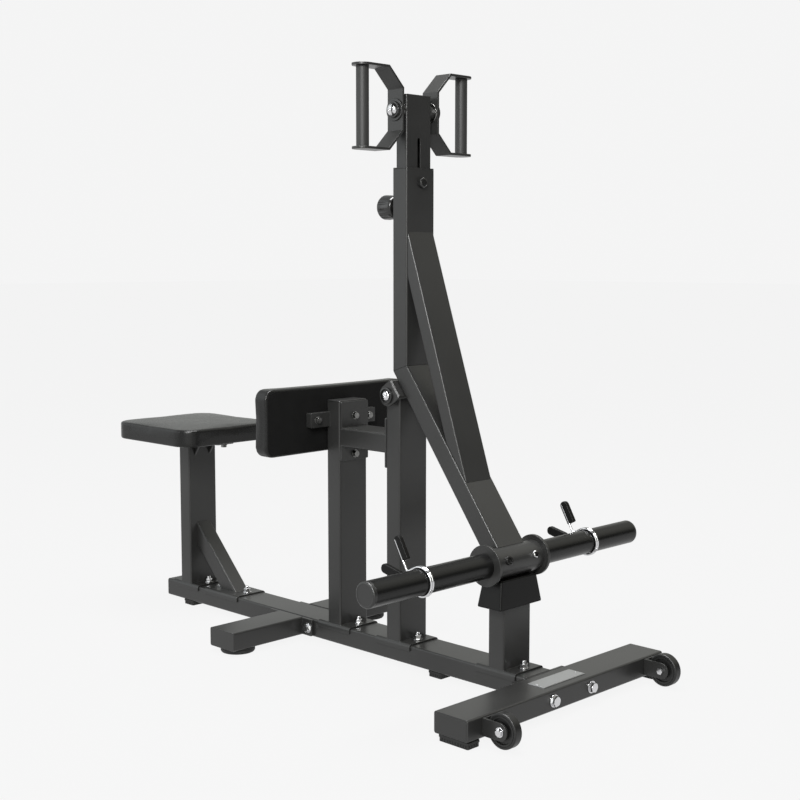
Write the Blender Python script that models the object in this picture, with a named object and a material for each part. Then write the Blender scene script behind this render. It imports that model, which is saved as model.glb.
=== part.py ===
"""Plate-loaded seated row machine: floor frame, seat, chest pad, swinging lever and handles.

Every separate piece is one object. Lengths are in metres and +Z is up. Pieces are drawn in
"station" coordinates: x is the distance in front of the rail's rear end, y is 0 on the plane
of symmetry, and z is the height above the floor. The origin then moves under the middle of
the whole machine. The user sits facing +X, so +Y is the machine's left.
"""
import math

import bmesh
import bpy
from mathutils import Vector

# Clearances
GAP = 0.0003                    # between pieces that rest on, or fit in, one another
BUSH_WALL = 0.0047              # plastic between a bolt and the bore that it turns in

# Tubes of the frame
TUBE_WIDTH = 0.080
TUBE_DEPTH = 0.040
TUBE_WALL = 0.003
TUBE_CORNER = 0.004
END_PLATE = 0.003               # steel that closes a tube's end
DRAIN_HOLE = 0.012
PLASTIC_EDGE = 0.001            # small bevel on caps, knobs and pins

# Saddles that seat the posts on the rail
SADDLE_PLATE = 0.003
SADDLE_LIP = 0.011
SADDLE_REACH = 0.030            # past the post, front and rear
BRACE_SADDLE_REACH = 0.034

# Base
FOOT_HEIGHT = 0.012
SEAT_POST_STATION = 0.0725
PAD_POST_STATION = 0.606
LINK_SPAN = 0.140               # clear length between the pad post and the lever post
RAIL_NOSE = 0.0752              # rail in front of the bumper post's middle
RAIL_FLANGE_WIDTH = 0.158
RAIL_FLANGE_HEIGHT = 0.038
RAIL_FLANGE_PLATE = 0.006
CROSSBAR_LENGTH = 0.586
CROSSBAR_BOLT_SPACING = 0.114
CROSSBAR_BOLT_HOLE = 0.011
END_CAP_PLATE = 0.003
END_CAP_PLUG = 0.015
END_CAP_WALL = 0.002

# Stabilisers, one on each side of the rail
STABILISER_STATION = 0.468
STABILISER_REACH = 0.238        # from the plane of symmetry to the free end
STABILISER_FLANGE_LENGTH = 0.144
STABILISER_FLANGE_HEIGHT = 0.037
STABILISER_FLANGE_PLATE = 0.006
FLANGE_VENT = 0.020

# Feet
ROUND_FOOT_DIAMETER = 0.075
ROUND_FOOT_TAPER = 0.003
ROUND_FOOT_INSET = 0.043        # foot's middle to the stabiliser's free end
RAIL_FOOT_LENGTH = 0.036
RAIL_FOOT_WIDTH = 0.076
REAR_FOOT_STATION = 0.0778
MIDDLE_FOOT_STATION = 0.9022
CROSSBAR_FOOT_LENGTH = 0.070    # along X
CROSSBAR_FOOT_WIDTH = 0.032
FOOT_CORNER = 0.003
FOOT_EDGE = 0.001               # bevel where the round foot meets the floor
FOOT_RIM = 0.002                # straight rim at the round foot's top

# Wheels
WHEEL_DIAMETER = 0.064
WHEEL_WIDTH = 0.018
WHEEL_INSET = 0.050             # crossbar's end to the wheel's middle
WHEEL_HUB = 0.018
WHEEL_TREAD = 0.009             # depth of the thick outer ring
WHEEL_DISH = 0.003              # the web between hub and tread is thinner on each side
WHEEL_SHOULDER = 0.005          # round between the tread and the wheel's side
WHEEL_LIFT = 0.0015             # the wheels only touch when the machine is tipped
WHEEL_REACH = 0.040             # crossbar's face to the axle
WHEEL_SIDE_PLAY = 0.001
WHEEL_BRACKET_PLATE = 0.004
WHEEL_BRACKET_NOSE = 0.016
AXLE_DIAMETER = 0.008
AXLE_HEAD = 0.013
AXLE_HEAD_HEIGHT = 0.0055
NUT_SIDES = 6

# Seat
SEAT_HEIGHT = 0.447             # the cushion's top edge above the floor
SEAT_LENGTH = 0.284
SEAT_WIDTH = 0.268
SEAT_THICKNESS = 0.041
SEAT_CORNER = 0.032
SEAT_CROWN = 0.003
SEAT_SETBACK = 0.0025           # the seat's middle behind the post's middle
SEAT_EDGE = 0.005               # round of the upholstery's top edge
SEAT_BORDER = 0.012             # upholstery turned under, round the board
BOARD_THICKNESS = 0.012
SEAT_BAR_LENGTH = 0.225
SEAT_BAR_WIDTH = 0.050
SEAT_BAR_PLATE = 0.005
SEAT_BAR_CORNER = 0.005
GUSSET_LENGTH = 0.021
GUSSET_DROP = 0.023
GUSSET_PLATE = 0.005
GUSSET_OFFSET = 0.0215
GUSSET_TOE = 0.003              # square edge at the gusset's thin end
BRACE_WIDTH = 0.040
BRACE_ANGLE = 44.3              # from the vertical, in degrees
BRACE_TOP = 0.205
BRACE_WALL = 0.0025

# Upholstery of the seat and the pad
CUSHION_DRAW_IN = 0.0015        # long sides, at their middle
CUSHION_BULGE = 0.0012          # the side's widest line over its top and bottom seams
CUSHION_SEAM = 0.002            # upholstery turns under the edge
CUSHION_WIDEST = 0.45           # of the thickness, where the side bulges most
CUSHION_CROWN_SHARES = (0.25, 0.5, 0.75)
CUSHION_MIDDLE = 0.006          # smallest half width that the crown's rings close in to
CUSHION_LEAST_CORNER = 0.002

# Chest pad
PAD_POST_TOP = 0.540
PAD_HEIGHT = 0.4995             # the pad's middle above the floor
PAD_WIDTH = 0.406
PAD_FACE = 0.140
PAD_THICKNESS = 0.038
PAD_CROWN = 0.003
PAD_CORNER = 0.022
PAD_EDGE = 0.005
PAD_BORDER = 0.004
PAD_STANDOFF = 0.005            # the board's back to the post's rear face
PAD_BAR_LENGTH = 0.188
PAD_BAR_HEIGHT = 0.031
PAD_BAR_DEPTH = 0.015
PAD_BAR_CORNER = 0.002
POST_CAP_PLATE = 0.0025

# Link beam between the pad post and the lever post
LINK_HEIGHT = 0.463
LINK_PLATE = 0.005
LINK_PLATE_WIDTH = 0.078
LINK_PLATE_UP = 0.075
LINK_PLATE_UP_FRONT = 0.052
LINK_PLATE_DOWN = 0.051
LINK_PLATE_CORNER = 0.003

# Lever pivot
PIVOT_HEIGHT = 0.564
PIVOT_BOLT_DIAMETER = 0.016
PIVOT_HOUSING_DIAMETER = 0.038
PIVOT_POST_DROP = 0.004         # the post's top below the pivot's axis
PIVOT_WEB_CLEARANCE = 0.0026    # the turning bracket clears the housing and the post
PIVOT_BUSH_LENGTH = 0.025
PIVOT_BUSH_FLANGE = 0.002
PIVOT_BUSH_FLANGE_DIAMETER = 0.034
BRACKET_PLATE = 0.006
BRACKET_INSIDE = 0.102
BRACKET_NOSE = 0.0215
PIVOT_HEAD = 0.024
PIVOT_HEAD_HEIGHT = 0.009
PIVOT_WASHER = 0.030
PIVOT_WASHER_THICKNESS = 0.0025

# Lever
ARM_ANGLE = 36.04               # from the vertical, in degrees
ARM_LENGTH = 0.4427             # from the bend to the weight bar's axis
PIVOT_DOWN_ARM = 0.0335         # from the bend down the arm to the point beside the pivot
UPRIGHT_LENGTH = 0.3981
LEVER_BRACE_WIDTH = 0.075
LEVER_BRACE_DEPTH = 0.030
LEVER_BRACE_WALL = 0.0025
LEVER_BRACE_ANGLE = 18.2
LEVER_BRACE_DROP = 0.125        # below the upright's top, at the upright's front face

# Weight bar and its sleeve
BAR_DIAMETER = 0.0483
BAR_WALL = 0.003
BAR_LENGTH = 0.776              # with its end caps
BAR_CAP_LENGTH = 0.008
BAR_CAP_ROUND = 0.005
BAR_CAP_PLUG = 0.015
SLEEVE_DIAMETER = 0.060
SLEEVE_LENGTH = 0.150
DISC_DIAMETER = 0.080
DISC_THICKNESS = 0.007
DISC_EDGE = 0.001
LOCK_BOLT_SPACING = 0.079
LOCK_BOLT_ANGLE = 18.5          # above the horizontal, at the front
LOCK_BOLT_DIAMETER = 0.008
LOCK_BOLT_HEAD = 0.013
LOCK_BOLT_HEAD_HEIGHT = 0.0055

# Bumper
BUMPER_HEIGHT = 0.0553
BUMPER_BASE = (0.060, 0.124)
BUMPER_TOP = (0.048, 0.106)
BUMPER_BEVEL = 0.002
BUMPER_PLUG = 0.015

# Telescoping handle post
POST_WIDTH = 0.070
POST_DEPTH = 0.030
POST_WALL = 0.0025
POST_CORNER = 0.003
POST_LENGTH = 0.4026
POST_RAISED = 0.1432            # stands above the guide bush
POST_LID = 0.003
BUSH_LIP = 0.002
BUSH_SLEEVE = 0.020
SLOT_WIDTH = 0.008
SLOT_TOP_DROP = 0.0842          # below the post's top
SLOT_LENGTH = 0.1684
HOLE_PITCH = 0.025
HOLES_EACH_WAY = 3
PIN_DIAMETER = 0.012
PIN_DROP = 0.0738               # below the upright's top
PIN_PAST_WALL = 0.00125         # the pin's nose beyond the inner tube's wall
PIN_HOUSING_DIAMETER = 0.022
PIN_HOUSING_LENGTH = 0.024
KNOB_DIAMETER = 0.050
KNOB_LENGTH = 0.040
KNOB_FLUTES = 12
KNOB_FLUTE_DEPTH = 0.0012
KNOB_EDGE = 0.008
KNOB_FRONT_STEP = 0.002
KNOB_FRONT_EDGE = 0.006
STOP_DROP = 0.0274              # below the upright's top
STOP_DIAMETER = 0.0074
STOP_HEAD = 0.019
STOP_HEAD_HEIGHT = 0.010
STOP_PAST_WALL = 0.0025         # the stop bolt's end beyond the inner tube's wall

# Handles
HANDLE_DROP = 0.0316            # the handle's axis below the post's top
HANDLE_BOLT_DIAMETER = 0.012
HANDLE_BOSS_DIAMETER = 0.028
STRAP_OFFSET = 0.0475           # the plane of symmetry to the strap's inner face
STRAP_WIDTH = 0.042
STRAP_PLATE = 0.005
STRAP_MIDDLE = 0.041            # half of the straight middle
STRAP_STEP = 0.038              # the sloped stretch, outwards and along
HANDLE_REACH = 0.162            # the plane of symmetry to the flange's end
GRIP_OFFSET = 0.141
GRIP_DIAMETER = 0.025
GRIP_WALL = 0.0025
AXLE_DISC_DIAMETER = 0.044
AXLE_DISC_THICKNESS = 0.006
AXLE_DOME_DIAMETER = 0.025
AXLE_DOME_HEIGHT = 0.006

# Spring collars
COLLAR_OUT_RIGHT = 0.247
COLLAR_OUT_LEFT = 0.243
WIRE_DIAMETER = 0.0045
COIL_CLEARANCE = 0.00055        # between the bar and the wire
COIL_PITCH = 0.005
COIL_TURN_POINTS = 24
COIL_START_ANGLE = 120.0        # where the wire leaves for the upper grip
COIL_SWEEP = 605.0
UPPER_CORNER = (-0.031, 0.014)
UPPER_ARM_ANGLE = 119.4
UPPER_ARM_LENGTH = 0.063
UPPER_BEND_RADIUS = 0.005
LOWER_CORNER = (-0.0352, -0.0083)
LOWER_ARM_ANGLE = 167.0
LOWER_ARM_LENGTH = 0.066
LOWER_BEND_RADIUS = 0.012
BEND_STEPS = 6
COLLAR_GRIP_LENGTH = 0.048
COLLAR_GRIP_WIDTH = 0.018
COLLAR_GRIP_THICKNESS = 0.010
COLLAR_GRIP_START = 0.020       # from the wire's corner
COLLAR_GRIP_OFFSET = 0.0045     # the grip's middle beside the wire

# Facets
CORNER_STEPS = 3
ROUND_STEPS = 24
WIDE_STEPS = 32
WHEEL_STEPS = 28
HOLE_STEPS = 16
HALF_ROUND_STEPS = 10
HEX_STEPS = 12                  # a multiple of six
EDGE_ANGLES = (30, 60, 90)      # rings of a quarter round, in degrees
DOME_ANGLES = (30, 60, 80)
KNOB_FLUTE_STEPS = 3
CUSHION_SIDE_STEPS = 6
CUSHION_CORNER_STEPS = 6
SMOOTH_ANGLE = 32.0

X = Vector((1, 0, 0))
Y = Vector((0, 1, 0))
Z = Vector((0, 0, 1))

# Heights and stations that follow from the sizes above
RAIL_MIDDLE = FOOT_HEIGHT + GAP + TUBE_DEPTH / 2
RAIL_TOP = RAIL_MIDDLE + TUBE_DEPTH / 2
SADDLE_TOP = RAIL_TOP + GAP + SADDLE_PLATE
INNER_CORNER = max(TUBE_CORNER - TUBE_WALL, TUBE_WALL / 3)
LEVER_POST_STATION = PAD_POST_STATION + TUBE_DEPTH + LINK_SPAN
PIVOT = Vector((LEVER_POST_STATION, 0, PIVOT_HEIGHT))
ARM_DOWN = Vector((math.sin(math.radians(ARM_ANGLE)), 0, -math.cos(math.radians(ARM_ANGLE))))
ARM_FRONT = Vector((math.cos(math.radians(ARM_ANGLE)), 0, math.sin(math.radians(ARM_ANGLE))))
WEB_INNER = PIVOT_HOUSING_DIAMETER / 2 + PIVOT_WEB_CLEARANCE
WEB_OUTER = WEB_INNER + BRACKET_PLATE
BEND = PIVOT + ARM_FRONT * (WEB_OUTER + GAP + TUBE_DEPTH / 2) - ARM_DOWN * PIVOT_DOWN_ARM
BAR = BEND + ARM_DOWN * ARM_LENGTH
UPRIGHT_TOP = BEND.z + UPRIGHT_LENGTH
POST_BASE_HEIGHT = UPRIGHT_TOP + GAP + BUSH_LIP
POST_TOP = POST_BASE_HEIGHT + POST_RAISED
PIN_HEIGHT = UPRIGHT_TOP - PIN_DROP
HANDLE_AXIS = Vector((BEND.x, 0, POST_TOP - HANDLE_DROP))
BUMPER_TOP_HEIGHT = BAR.z - SLEEVE_DIAMETER / 2 - GAP
BUMPER_BASE_HEIGHT = BUMPER_TOP_HEIGHT - BUMPER_HEIGHT
RAIL_LENGTH = BAR.x + RAIL_NOSE
CROSSBAR_STATION = RAIL_LENGTH + GAP + TUBE_WIDTH / 2
CROSSBAR_FRONT = CROSSBAR_STATION + TUBE_WIDTH / 2
WHEEL_AXIS_HEIGHT = WHEEL_DIAMETER / 2 + WHEEL_LIFT
WHEEL_STATION = CROSSBAR_FRONT + WHEEL_REACH
SEAT_STATION = SEAT_POST_STATION - SEAT_SETBACK
SEAT_REAR = SEAT_STATION - SEAT_LENGTH / 2
PAD_BACK = PAD_POST_STATION - TUBE_DEPTH / 2 - PAD_STANDOFF
COIL_RADIUS = BAR_DIAMETER / 2 + COIL_CLEARANCE + WIRE_DIAMETER / 2
MIDDLE_STATION = (SEAT_REAR + WHEEL_STATION + WHEEL_DIAMETER / 2) / 2

# Colour, roughness and metallic value of each finish
FINISHES = {
    "powder_coat": ((0.035, 0.036, 0.036, 1), 0.42, 0.35),
    "vinyl": ((0.040, 0.041, 0.042, 1), 0.50, 0.0),
    "board": ((0.012, 0.012, 0.012, 1), 0.75, 0.0),
    "rubber": ((0.012, 0.012, 0.012, 1), 0.80, 0.0),
    "plastic": ((0.018, 0.018, 0.018, 1), 0.45, 0.0),
    "chrome": ((0.75, 0.76, 0.77, 1), 0.18, 1.0),
}

for old in list(bpy.data.objects):
    bpy.data.objects.remove(old, do_unlink=True)


def make_empty(name, position, parent=None):
    """An empty at a place in station coordinates, for pieces that belong together."""
    empty = bpy.data.objects.new(name, None)
    bpy.context.scene.collection.objects.link(empty)
    empty["place"] = position
    empty.location = position
    if parent is not None:
        empty.parent = parent
        empty.location = Vector(position) - Vector(parent["place"])
    return empty


machine = make_empty("machine_axis", (0, 0, 0))
machine.location = (-MIDDLE_STATION, 0, 0)
lever_axis = make_empty("lever_axis", PIVOT, machine)
post_axis = make_empty("handle_post_axis", HANDLE_AXIS, lever_axis)
pin_axis = make_empty("pull_pin_axis", (BEND.x - TUBE_DEPTH / 2, 0, PIN_HEIGHT), lever_axis)


# Shapes

def circle(radius, steps=ROUND_STEPS):
    """Outline of a circle about (0, 0)."""
    turn = 2 * math.pi / steps
    return [(radius * math.cos(turn * i), radius * math.sin(turn * i)) for i in range(steps)]


def hexagon(across_flats, steps=HEX_STEPS):
    """Outline of a hexagon with as many points as a circle, so the two can be joined."""
    outline = []
    for i in range(steps):
        angle = 2 * math.pi * i / steps
        off_flat = (angle + math.pi / 6) % (math.pi / 3) - math.pi / 6
        radius = across_flats / 2 / math.cos(off_flat)
        outline.append((radius * math.cos(angle), radius * math.sin(angle)))
    return outline


def arc(centre, radius, first, last, steps):
    """Points from one angle to another, in degrees, round a centre."""
    points = []
    for i in range(steps + 1):
        angle = math.radians(first + (last - first) * i / steps)
        points.append((centre[0] + radius * math.cos(angle), centre[1] + radius * math.sin(angle)))
    return points


def rounded_rectangle(width, depth, radius, steps=CORNER_STEPS):
    """Outline of a rectangle with round corners about (0, 0)."""
    across = width / 2 - radius
    deep = depth / 2 - radius
    outline = arc((across, deep), radius, 0, 90, steps)
    outline += arc((-across, deep), radius, 90, 180, steps)
    outline += arc((-across, -deep), radius, 180, 270, steps)
    outline += arc((across, -deep), radius, 270, 360, steps)
    return outline


def add_piece(name, mesh, finish, parent):
    """Link a finished mesh, drawn in station coordinates, under an empty."""
    mesh.shade_smooth()
    mesh.set_sharp_from_angle(angle=math.radians(SMOOTH_ANGLE))
    piece = bpy.data.objects.new(name, mesh)
    bpy.context.scene.collection.objects.link(piece)
    return finish_piece(piece, finish, parent)


def finish_piece(piece, finish, parent):
    """Give a piece its own material and hang it on the empty that carries it."""
    colour, roughness, metallic = FINISHES[finish]
    material = bpy.data.materials.new(f"{piece.name}_{finish}")
    material.use_nodes = True
    shader = material.node_tree.nodes["Principled BSDF"]
    shader.inputs["Base Color"].default_value = colour
    shader.inputs["Roughness"].default_value = roughness
    shader.inputs["Metallic"].default_value = metallic
    piece.data.materials.append(material)
    piece.parent = parent
    piece.location = -Vector(parent["place"])
    return piece


def loft(name, rings, finish="powder_coat", parent=machine, closed=False):
    """A solid whose skin joins rings of points; a closed one runs back to its first ring."""
    mesh = bpy.data.meshes.new(name)
    bm = bmesh.new()
    rows = [[bm.verts.new(point) for point in ring] for ring in rings]
    pairs = list(zip(rows, rows[1:]))
    if closed:
        pairs.append((rows[-1], rows[0]))
    else:
        bm.faces.new(rows[0])
        bm.faces.new(rows[-1])
    for lower, upper in pairs:
        for i in range(len(lower)):
            j = (i + 1) % len(lower)
            bm.faces.new((lower[i], lower[j], upper[j], upper[i]))
    bmesh.ops.recalc_face_normals(bm, faces=bm.faces)
    bm.to_mesh(mesh)
    bm.free()
    return add_piece(name, mesh, finish, parent)


def stack(name, base, along, across, deep, layers, **options):
    """A solid from flat outlines, each at its own distance along an axis."""
    rings = []
    for outline, distance in layers:
        centre = base + along * distance
        rings.append([centre + across * a + deep * d for a, d in outline])
    return loft(name, rings, **options)


def turned(name, base, along, profile, steps=ROUND_STEPS, **options):
    """A round solid from (radius, distance) pairs along an axis."""
    across = X if abs(along.x) < 0.5 else Y
    layers = [(circle(radius, steps), distance) for radius, distance in profile]
    return stack(name, base, along, across, along.cross(across), layers, **options)


def plate(name, base, along, across, deep, outline, thickness, **options):
    """A flat plate cut to an outline."""
    return stack(name, base, along, across, deep, [(outline, 0), (outline, thickness)], **options)


def on_plane(outline, base, across, deep, along, point, normal):
    """Where lines along a tube, one for each point of its outline, meet a plane."""
    ring = []
    for a, d in outline:
        corner = base + across * a + deep * d
        ring.append(corner + along * ((point - corner).dot(normal) / along.dot(normal)))
    return ring


def tube(name, base, along, width, depth, wall, corner, start, end, across=Y, **options):
    """A rectangular tube between two planes, each a point and a normal."""
    deep = along.cross(across)
    outer = rounded_rectangle(width, depth, corner)
    inner_corner = max(corner - wall, wall / 3)
    inner = rounded_rectangle(width - 2 * wall, depth - 2 * wall, inner_corner)
    rings = []
    for outline, (point, normal) in ((outer, start), (outer, end), (inner, end), (inner, start)):
        rings.append(on_plane(outline, base, across, deep, along, point, normal))
    return loft(name, rings, closed=True, **options)


def cutter(piece):
    """Hide a shape that only helps to cut or join others."""
    piece.hide_render = True
    piece.display_type = "WIRE"
    return piece


def combine(piece, tool, operation, solver="EXACT"):
    """Join to a piece, cut from it, or keep only what it shares with a tool."""
    boolean = piece.modifiers.new(f"{operation.lower()}_{tool.name}", "BOOLEAN")
    boolean.operation = operation
    boolean.solver = solver
    boolean.object = cutter(tool)
    return piece


def join(piece, tool):
    return combine(piece, tool, "UNION")


def cut(piece, tool):
    return combine(piece, tool, "DIFFERENCE")


def drill(piece, label, middle, along, diameter, length, steps=HOLE_STEPS):
    """Cut a round hole of a diameter through a piece, centred on a point."""
    hole = turned(f"{label}_hole", middle, along, [(diameter / 2, -length / 2), (diameter / 2, length / 2)],
                  steps=steps, parent=piece.parent)
    return cut(piece, hole)


def bolt(name, face, outwards, shank, length, head, height, washer=None, **options):
    """A hexagon bolt whose head rests on a face, its shank running inwards."""
    chamfer = height / 5
    profile = [(circle(shank / 2, HEX_STEPS), -length), (circle(shank / 2, HEX_STEPS), 0)]
    seat = 0
    if washer is not None:
        diameter, seat = washer
        profile += [(circle(diameter / 2, HEX_STEPS), 0), (circle(diameter / 2, HEX_STEPS), seat)]
    profile += [(hexagon(head), seat), (hexagon(head), seat + height - chamfer)]
    profile.append((circle(head / 2 - chamfer, HEX_STEPS), seat + height))
    across = X if abs(outwards.x) < 0.5 else Y
    return stack(name, face, outwards, across, outwards.cross(across), profile, **options)


# Rail

def make_rail():
    """The long floor tube, open at the rear, with a welded flange for the crossbar."""
    flange_rear = RAIL_LENGTH - RAIL_FLANGE_PLATE
    middle = Vector((0, 0, RAIL_MIDDLE))
    rail = tube("main_rail", middle, X, TUBE_WIDTH, TUBE_DEPTH, TUBE_WALL, TUBE_CORNER,
                (middle, X), (Vector((RAIL_LENGTH - RAIL_FLANGE_PLATE / 2, 0, 0)), X))
    outline = rounded_rectangle(RAIL_FLANGE_WIDTH, RAIL_FLANGE_HEIGHT, TUBE_CORNER)
    flange = plate("rail_flange", Vector((flange_rear, 0, RAIL_MIDDLE)), X, Y, Z, outline, RAIL_FLANGE_PLATE)
    join(rail, flange)
    for side in (-1, 1):
        place = Vector((flange_rear, side * CROSSBAR_BOLT_SPACING / 2, RAIL_MIDDLE))
        drill(rail, f"rail_flange_bolt_{side + 2}", place, X, CROSSBAR_BOLT_HOLE, 4 * RAIL_FLANGE_PLATE)


def make_rail_end_cap():
    """Plastic plug with a rounded rim in the rail's rear end."""
    rim = rounded_rectangle(TUBE_WIDTH, TUBE_DEPTH, TUBE_CORNER)
    soft_rim = rounded_rectangle(TUBE_WIDTH - 2 * PLASTIC_EDGE, TUBE_DEPTH - 2 * PLASTIC_EDGE, TUBE_CORNER)
    bore = 2 * (TUBE_WALL + GAP)
    plug = rounded_rectangle(TUBE_WIDTH - bore, TUBE_DEPTH - bore, INNER_CORNER)
    hollow = bore + 2 * END_CAP_WALL
    inside = rounded_rectangle(TUBE_WIDTH - hollow, TUBE_DEPTH - hollow, INNER_CORNER)
    stack("rail_end_cap", Vector((-GAP, 0, RAIL_MIDDLE)), X, Y, Z,
          [(soft_rim, -END_CAP_PLATE), (rim, PLASTIC_EDGE - END_CAP_PLATE), (rim, 0), (plug, 0),
           (plug, END_CAP_PLUG), (inside, END_CAP_PLUG), (inside, 0)], finish="plastic")


# Front crossbar, its feet and wheels

def make_crossbar():
    """Closed tube across the front, bolted to the rail's flange through its two walls."""
    half = CROSSBAR_LENGTH / 2
    middle = Vector((CROSSBAR_STATION, 0, RAIL_MIDDLE))
    outer = rounded_rectangle(TUBE_WIDTH, TUBE_DEPTH, TUBE_CORNER)
    inner = rounded_rectangle(TUBE_WIDTH - 2 * TUBE_WALL, TUBE_DEPTH - 2 * TUBE_WALL, INNER_CORNER)
    crossbar = stack("front_crossbar", middle, Y, X, Z, [(outer, -half), (outer, half)])
    hollow = stack("crossbar_hollow", middle, Y, X, Z,
                   [(inner, -half + END_PLATE), (inner, half - END_PLATE)])
    cut(crossbar, hollow)
    for side in (-1, 1):
        place = middle + Y * side * CROSSBAR_BOLT_SPACING / 2
        drill(crossbar, f"crossbar_bolt_{side + 2}", place, X, CROSSBAR_BOLT_HOLE, 1.2 * TUBE_WIDTH)


def make_crossbar_foot(side, label):
    """Rubber block under the crossbar's end."""
    outline = rounded_rectangle(CROSSBAR_FOOT_LENGTH, CROSSBAR_FOOT_WIDTH, FOOT_CORNER)
    place = Vector((CROSSBAR_FRONT - CROSSBAR_FOOT_LENGTH / 2,
                    side * (CROSSBAR_LENGTH - CROSSBAR_FOOT_WIDTH) / 2, 0))
    plate(f"crossbar_foot_{label}", place, Z, X, Y, outline, FOOT_HEIGHT, finish="rubber")


def make_wheel(side, label):
    """Transport wheel on its bolt, in a fork on the crossbar's front face."""
    axis = Vector((WHEEL_STATION, side * (CROSSBAR_LENGTH / 2 - WHEEL_INSET), WHEEL_AXIS_HEIGHT))
    inside = WHEEL_WIDTH / 2 + WHEEL_SIDE_PLAY
    outside = inside + WHEEL_BRACKET_PLATE
    web = CROSSBAR_FRONT + GAP - WHEEL_STATION
    outline = [(web, -WHEEL_BRACKET_NOSE)] + arc((0, 0), WHEEL_BRACKET_NOSE, -90, 90, HALF_ROUND_STEPS)
    outline.append((web, WHEEL_BRACKET_NOSE))
    fork = plate(f"wheel_bracket_{label}", axis - Y * outside, Y, X, Z, outline, 2 * outside)
    opening = rounded_rectangle(2 * inside, 4 * WHEEL_BRACKET_NOSE, GAP)
    cut(fork, plate(f"wheel_gap_{label}", axis + X * (web + WHEEL_BRACKET_PLATE), X, Y, Z,
                    opening, WHEEL_DIAMETER))
    drill(fork, f"wheel_axle_{label}", axis, Y, AXLE_DIAMETER + 2 * GAP, 3 * outside)

    face = axis + Y * side * (outside + GAP)
    axle = bolt(f"wheel_axle_{label}", face, Y * side, AXLE_DIAMETER, 2 * (outside + GAP) + AXLE_HEAD_HEIGHT,
                AXLE_HEAD, AXLE_HEAD_HEIGHT, finish="chrome")
    nut = turned(f"wheel_nut_{label}", axis - Y * side * (outside + GAP), Y * side,
                 [(AXLE_HEAD / 2, 0), (AXLE_HEAD / 2, -AXLE_HEAD_HEIGHT)], steps=NUT_SIDES)
    join(axle, nut)

    spin = make_empty(f"wheel_spin_{label}", axis, machine)
    radius = WHEEL_DIAMETER / 2
    half = WHEEL_WIDTH / 2
    hub = inside - GAP
    tread = radius - WHEEL_TREAD
    web_face = half - WHEEL_DISH
    side_profile = [(AXLE_DIAMETER / 2 + GAP, hub), (WHEEL_HUB / 2, hub), (WHEEL_HUB / 2, web_face),
                    (tread - WHEEL_DISH / 2, web_face), (tread, half)]
    side_profile += arc((radius - WHEEL_SHOULDER, half - WHEEL_SHOULDER), WHEEL_SHOULDER, 90, 0, CORNER_STEPS)
    profile = side_profile + [(r, -distance) for r, distance in reversed(side_profile)]
    turned(f"wheel_{label}", axis, Y, profile, steps=WHEEL_STEPS, finish="rubber", parent=spin, closed=True)


# Stabilisers and the feet under the middle of the machine

def make_stabiliser(side, label):
    """Side arm with a closed outer end and a flange that bolts to the rail's side."""
    rail_side = TUBE_WIDTH / 2 + GAP
    outwards = Y * side
    start = Vector((STABILISER_STATION, 0, RAIL_MIDDLE))
    outer = rounded_rectangle(TUBE_WIDTH, TUBE_DEPTH, TUBE_CORNER)
    inner = rounded_rectangle(TUBE_WIDTH - 2 * TUBE_WALL, TUBE_DEPTH - 2 * TUBE_WALL, INNER_CORNER)
    weld = rail_side + STABILISER_FLANGE_PLATE / 2
    arm = stack(f"stabiliser_{label}", start, outwards, X, Z,
                [(inner, STABILISER_REACH - END_PLATE), (inner, weld), (outer, weld), (outer, STABILISER_REACH)])
    outline = rounded_rectangle(STABILISER_FLANGE_LENGTH, STABILISER_FLANGE_HEIGHT, TUBE_CORNER)
    flange = plate(f"stabiliser_flange_{label}", start + outwards * rail_side, outwards, X, Z,
                   outline, STABILISER_FLANGE_PLATE)
    join(arm, flange)
    drill(arm, f"stabiliser_vent_{label}", start + outwards * weld, Y, FLANGE_VENT, 3 * STABILISER_FLANGE_PLATE)

    top = ROUND_FOOT_DIAMETER / 2
    low = top - ROUND_FOOT_TAPER
    foot = Vector((STABILISER_STATION, side * (STABILISER_REACH - ROUND_FOOT_INSET), 0))
    turned(f"stabiliser_foot_{label}", foot, Z,
           [(low - FOOT_EDGE, 0), (low, FOOT_EDGE), (top, FOOT_HEIGHT - FOOT_RIM), (top, FOOT_HEIGHT)],
           steps=WIDE_STEPS, finish="rubber")


def make_rail_foot(name, station):
    """Rubber block under the rail."""
    outline = rounded_rectangle(RAIL_FOOT_LENGTH, RAIL_FOOT_WIDTH, FOOT_CORNER)
    plate(name, Vector((station, 0, 0)), Z, X, Y, outline, FOOT_HEIGHT, finish="rubber")


# Posts on the rail

def saddle_outline():
    """Cross-section of a folded plate that sits over the rail, in (y, height above it)."""
    inner = TUBE_WIDTH / 2 + GAP
    outer = inner + SADDLE_PLATE
    inner_round = TUBE_CORNER + GAP
    outer_round = inner_round + SADDLE_PLATE
    top = GAP + SADDLE_PLATE
    points = [(outer, -SADDLE_LIP)]
    points += arc((outer - outer_round, top - outer_round), outer_round, 0, 90, CORNER_STEPS)
    points += arc((outer_round - outer, top - outer_round), outer_round, 90, 180, CORNER_STEPS)
    points += [(-outer, -SADDLE_LIP), (-inner, -SADDLE_LIP)]
    points += arc((inner_round - inner, GAP - inner_round), inner_round, 180, 90, CORNER_STEPS)
    points += arc((inner - inner_round, GAP - inner_round), inner_round, 90, 0, CORNER_STEPS)
    points.append((inner, -SADDLE_LIP))
    return points


def add_saddle(piece, first, last):
    """Weld a saddle under a piece, with a drain hole where its hollow meets the plate."""
    name = f"{piece.name}_saddle"
    saddle = plate(name, Vector((first, 0, RAIL_TOP)), X, Y, Z, saddle_outline(), last - first)
    join(piece, saddle)
    middle = Vector(((first + last) / 2, 0, SADDLE_TOP))
    drill(piece, f"{piece.name}_drain", middle, Z, DRAIN_HOLE, 4 * SADDLE_PLATE)


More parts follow.
